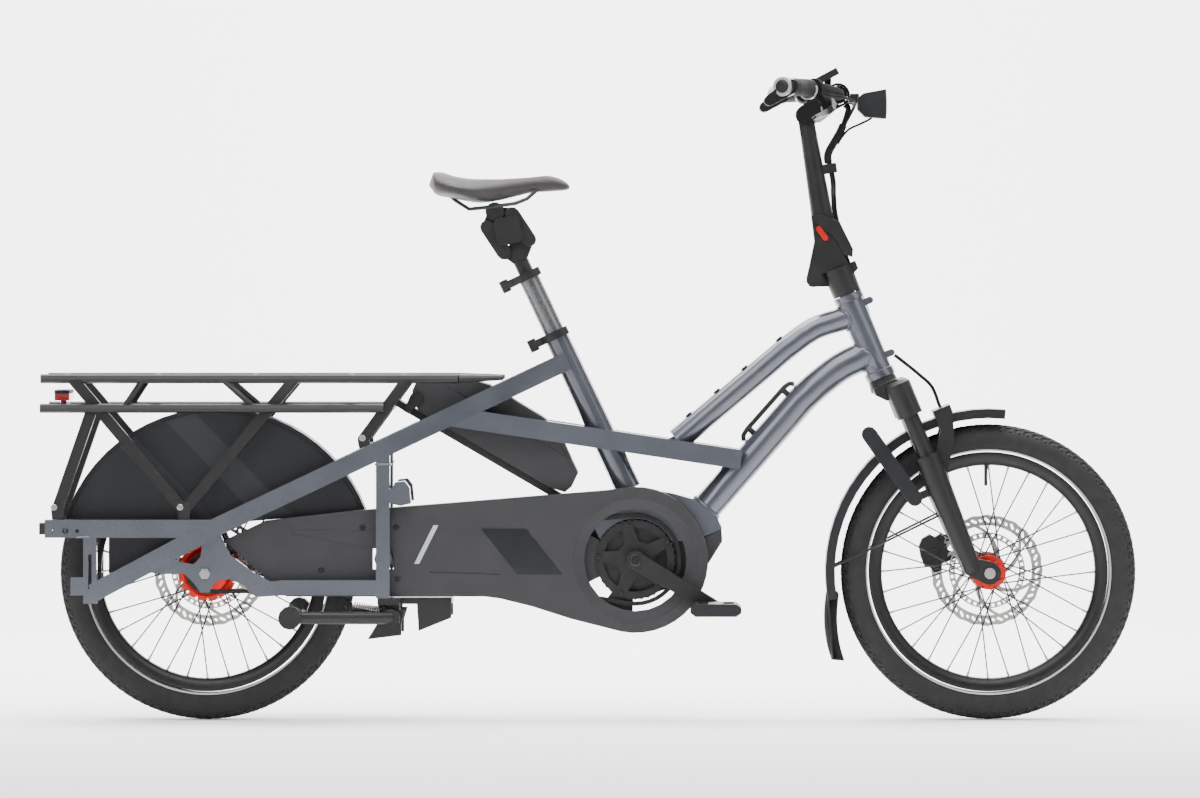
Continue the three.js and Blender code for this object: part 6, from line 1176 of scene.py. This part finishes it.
class BIKE_OT_controls(bpy.types.Operator):
    """Make the grip collars and caps, the display's glass and the headlight's lens"""
    bl_idname = "bike.controls"
    bl_label = "Controls"

    def execute(self, context):
        run = unit([-103.0, -260.0, 8])
        end = BAR_MIDDLE + np.array([-103.0, -330, 8])
        outer_collar = [(15.7, 0), (16.9, 1), (16.9, 27), (15.7, 28), (11.6, 28), (11.6, 0)]
        inner_collar = [(15.7, 0), (16.6, 1), (16.6, 6), (15.7, 7), (11.6, 7), (11.6, 0)]
        collars = [spindle(end - run * inset, run, profile, 36)
                   for inset, profile in ((27.6, outer_collar), (131, inner_collar))]
        piece("grip_collars", both_sides(collars), "bars", "steel")
        cap = spindle(end + run * 0.1, run, [(11.6, -1), (11.6, 0.2), (10, 1.2), (6, 1.2), (5.4, 0.2)], 28)
        piece("grip_caps", both_sides([cap]), "bars", "anodised")
        tilt = math.radians(-28)
        forward = np.array([math.cos(tilt), 0, -math.sin(tilt)])
        upward = np.array([math.sin(tilt), 0, math.cos(tilt)])
        screen = BAR_MIDDLE + np.array([-17.0, 12, 27]) + upward * 5.9
        piece("display_glass", tilted_box(screen, forward, upward, (36, 56, 0.9), 0.28), "bars", "glass")
        lens = BAR_MIDDLE + np.array([83.4, 0, -16.5])
        piece("headlight_lens", tilted_box(lens, UP, AHEAD, (38, 48, 2.2), 0.4), "bars", "lamp")
        return {"FINISHED"}


# Saddle, in metres: the pad's voxels, how far it is drawn in before it swells and how far it may swell, and the
# depth and half width of the channel along it.
VOXEL = 0.0042
DRAWN_IN = 0.0012
MOST_SWELL = 0.0022
CHANNEL_DEPTH, CHANNEL_WIDTH = 0.0035, 0.0095
CLOTH_FRAMES = 20


def evaluated_copy(made):
    """The mesh of an object as its modifiers leave it."""
    graph = bpy.context.evaluated_depsgraph_get()
    return bpy.data.meshes.new_from_object(made.evaluated_get(graph))


def vectors_of(mesh, key="co"):
    """The places of a mesh's points, or their normals, as rows."""
    flat = np.empty(len(mesh.vertices) * 3, np.float32)
    mesh.vertices.foreach_get(key, flat)
    return flat.reshape(-1, 3).astype(float)


def set_points(mesh, points):
    """Moves a mesh's points to the given rows."""
    mesh.vertices.foreach_set("co", points.astype(np.float32).ravel())


def press_up(made, limit):
    """Cloth under slight pressure for twenty frames, without weight: each point moves at most the limit."""
    before = vectors_of(made.data)
    cloth = made.modifiers.new("pressure", "CLOTH")
    cloth.settings.use_pressure = True
    cloth.settings.uniform_pressure_force = 4
    cloth.settings.effector_weights.gravity = 0
    cloth.settings.tension_stiffness = 20
    cloth.settings.bending_stiffness = 2
    scene = bpy.context.scene
    cloth.point_cache.frame_start, cloth.point_cache.frame_end = 1, CLOTH_FRAMES
    for number in range(1, CLOTH_FRAMES + 1):
        scene.frame_set(number)
    after = vectors_of(evaluated_copy(made))
    made.modifiers.remove(cloth)
    scene.frame_set(1)
    step = after - before
    length = np.linalg.norm(step, axis=1, keepdims=True)
    return before + step * np.minimum(1, limit / np.maximum(length, 1e-9))


def with_channel(points, normals):
    """Points of the saddle with a shallow channel along its top: a bell across it, which fades in behind the tail
    and out before the nose."""
    low, high = points.min(axis=0), points.max(axis=0)
    share = (points[:, 0] - low[0]) / (high[0] - low[0])
    bell = np.exp(-(points[:, 1] / CHANNEL_WIDTH) ** 2)
    channel = bell * np.clip((share - 0.1) / 0.12, 0, 1) * np.clip((0.86 - share) / 0.14, 0, 1)
    points[:, 2] -= CHANNEL_DEPTH * channel * (normals[:, 2] > 0.3)
    return points


class BIKE_OT_saddle(bpy.types.Operator):
    """Make the padded saddle from the fixed solid by a short cloth simulation, with a shallow channel along it"""
    bl_idname = "bike.saddle"
    bl_label = "Saddle"

    def execute(self, context):
        pad = bpy.data.objects.new("saddle_pad", frame["nodes"]["saddle"].data.copy())
        context.scene.collection.objects.link(pad)
        work = bmesh.new()
        work.from_mesh(pad.data)
        bmesh.ops.remove_doubles(work, verts=work.verts, dist=1e-5)
        work.to_mesh(pad.data)
        work.free()
        remesh = pad.modifiers.new("even_quads", "REMESH")
        remesh.mode, remesh.voxel_size = "VOXEL", VOXEL
        pad.data = evaluated_copy(pad)
        pad.modifiers.clear()
        normals = vectors_of(pad.data, "normal")
        points = vectors_of(pad.data) - normals * DRAWN_IN
        set_points(pad.data, points)
        points = press_up(pad, MOST_SWELL)
        set_points(pad.data, with_channel(points, normals))
        pad.data.polygons.foreach_set("use_smooth", np.ones(len(pad.data.polygons), bool))
        pad.data.materials.clear()
        pad.data.materials.append(material("saddle"))
        finer = pad.modifiers.new("finer", "SUBSURF")
        finer.levels = finer.render_levels = 1
        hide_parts("saddle")
        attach(pad, "seat_body")
        return {"FINISHED"}


# Stage, in metres

# The paper's sweep: its half length, its front edge, the radius of its bend and the wall's place and top.
SWEEP_HALF, SWEEP_FRONT, SWEEP_BEND, WALL_Y, WALL_TOP = 9, -16, 2.5, 5.5, 9
# Each light: its place, what it is aimed at, its size and its power in watts.
LIGHTS = {
    "soft_top": ((0.0, -1.4, 3.6), (0, 0, 0.4), 4.0, 270),
    "soft_front": ((-2.6, -5.0, 2.6), (0, 0, 0.5), 2.2, 70),
    "soft_right": ((4.0, -2.5, 2.2), (0.3, 0, 0.5), 2.5, 40),
    "soft_wall": ((0.0, 1.8, 4.6), (0, 5.5, 1.6), 6.0, 1300),
}
# The camera: its distance, its sensor's width in millimetres, and the pixel that it faces squarely.
CAMERA_DISTANCE = 12.5
SENSOR_WIDTH = 36
FACED_PIXEL = (662, 245)


def studio_paper(colours):
    """Pale matt paper of the sweep, seen from its front only, so that the bike can be viewed from behind too."""
    paper, tree, shader = finish("studio_paper", colours.floor, Roughness=0.9)
    grain(tree, shader, 0.002, 0.0001, 0.2)
    clear = add_node(tree, "ShaderNodeBsdfTransparent")
    back = add_node(tree, "ShaderNodeNewGeometry")
    both = add_node(tree, "ShaderNodeMixShader", links={0: back.outputs["Backfacing"], 1: shader.outputs[0],
                                                        2: clear.outputs[0]})
    output = next(node for node in tree.nodes if node.type == "OUTPUT_MATERIAL")
    tree.links.new(both.outputs[0], output.inputs["Surface"])
    return paper


def make_sweep(context):
    """The floor and wall as one sheet: flat, then a quarter circle, y = r sin a and z = r - r cos a, and then
    upright."""
    x = np.linspace(-SWEEP_HALF, SWEEP_HALF, 2)
    turn = np.linspace(0, np.pi / 2, 13)
    y = np.concatenate([[SWEEP_FRONT], WALL_Y - SWEEP_BEND + SWEEP_BEND * np.sin(turn), [WALL_Y]])
    z = np.concatenate([[0], SWEEP_BEND - SWEEP_BEND * np.cos(turn), [WALL_TOP]]) - 0.0005
    points = np.stack([np.repeat(x, len(y)), np.tile(y, 2), np.tile(z, 2)], axis=-1)
    mesh = bpy.data.meshes.new("studio_sweep")
    mesh.from_pydata(points.tolist(), [], grid_faces(2, len(y)).tolist())
    mesh.polygons.foreach_set("use_smooth", np.ones(len(mesh.polygons), bool))
    mesh.materials.append(studio_paper(context.scene.bike_colours))
    sweep = bpy.data.objects.new("studio_sweep", mesh)
    context.scene.collection.objects.link(sweep)


def make_lights(context):
    """An even white sky and the soft square lights, none of which the camera sees."""
    world = context.scene.world or bpy.data.worlds.new("studio")
    context.scene.world = world
    world.use_nodes = True
    world.node_tree.nodes.clear()
    sky = add_node(world.node_tree, "ShaderNodeBackground", values={"Color": (1, 1, 1, 1), "Strength": 0.42})
    add_node(world.node_tree, "ShaderNodeOutputWorld", links={"Surface": sky.outputs[0]})
    for name, (at, aim, size, power) in LIGHTS.items():
        lamp = bpy.data.lights.new(name, "AREA")
        lamp.shape, lamp.size, lamp.energy = "SQUARE", size, power
        light = bpy.data.objects.new(name, lamp)
        light.location = at
        light.visible_camera = False
        light.rotation_euler = (Vector(aim) - Vector(at)).to_track_quat("-Z", "Y").to_euler()
        context.scene.collection.objects.link(light)


def camera_at_photograph(context):
    """Camera level with the bars, square to the bike: one pixel of the frame is PIXEL millimetres there."""
    data = bpy.data.cameras.new("photograph")
    data.sensor_fit = "HORIZONTAL"
    data.sensor_width = SENSOR_WIDTH
    data.lens = SENSOR_WIDTH * CAMERA_DISTANCE / (FRAME_WIDTH * PIXEL / 1000)
    data.shift_x = (FRAME_WIDTH / 2 - FACED_PIXEL[0]) / FRAME_WIDTH
    data.shift_y = -(FRAME_HEIGHT / 2 - FACED_PIXEL[1]) / FRAME_WIDTH
    data.clip_end = 100
    camera = bpy.data.objects.new("photograph", data)
    x, z = at_pixel(*FACED_PIXEL)
    camera.location = place((x, -CAMERA_DISTANCE * 1000, z))[0]
    camera.rotation_euler = (math.pi / 2, 0, 0)
    context.scene.collection.objects.link(camera)
    context.scene.camera = camera


class BIKE_OT_stage(bpy.types.Operator):
    """Make the pale floor and backdrop, the soft lights and the camera at the photograph's place"""
    bl_idname = "bike.stage"
    bl_label = "Stage"

    def execute(self, context):
        make_sweep(context)
        make_lights(context)
        camera_at_photograph(context)
        return {"FINISHED"}


class BIKE_PT_panel(bpy.types.Panel):
    bl_label = "Cargo bike"
    bl_idname = "BIKE_PT_panel"
    bl_space_type = "VIEW_3D"
    bl_region_type = "UI"
    bl_category = "Cargo bike"

    def draw(self, context):
        for step in STEPS:
            self.layout.operator(step.bl_idname)
        for group in (context.scene.bike_sizes, context.scene.bike_colours):
            for name in group.bl_rna.properties.keys():
                if name not in ("rna_type", "name"):
                    self.layout.prop(group, name)


STEPS = (BIKE_OT_stage, BIKE_OT_cords, BIKE_OT_fixed_finishes, BIKE_OT_wheels, BIKE_OT_drive,
         BIKE_OT_frame_details, BIKE_OT_guard_details, BIKE_OT_controls, BIKE_OT_saddle)
CLASSES = (BikeSizes, BikeColours, *STEPS, BIKE_PT_panel)


def register():
    for item in CLASSES:
        bpy.utils.register_class(item)
    bpy.types.Scene.bike_sizes = PointerProperty(type=BikeSizes)
    bpy.types.Scene.bike_colours = PointerProperty(type=BikeColours)


def unregister():
    del bpy.types.Scene.bike_colours
    del bpy.types.Scene.bike_sizes
    for item in reversed(CLASSES):
        bpy.utils.unregister_class(item)


def main():
    register()
    bpy.ops.bike.stage()
    bpy.ops.bike.cords()
    bpy.ops.bike.fixed_finishes()
    bpy.ops.bike.wheels()
    bpy.ops.bike.drive()
    bpy.ops.bike.frame_details()
    bpy.ops.bike.guard_details()
    bpy.ops.bike.controls()
    bpy.ops.bike.saddle()


if __name__ == "__main__":
    main()
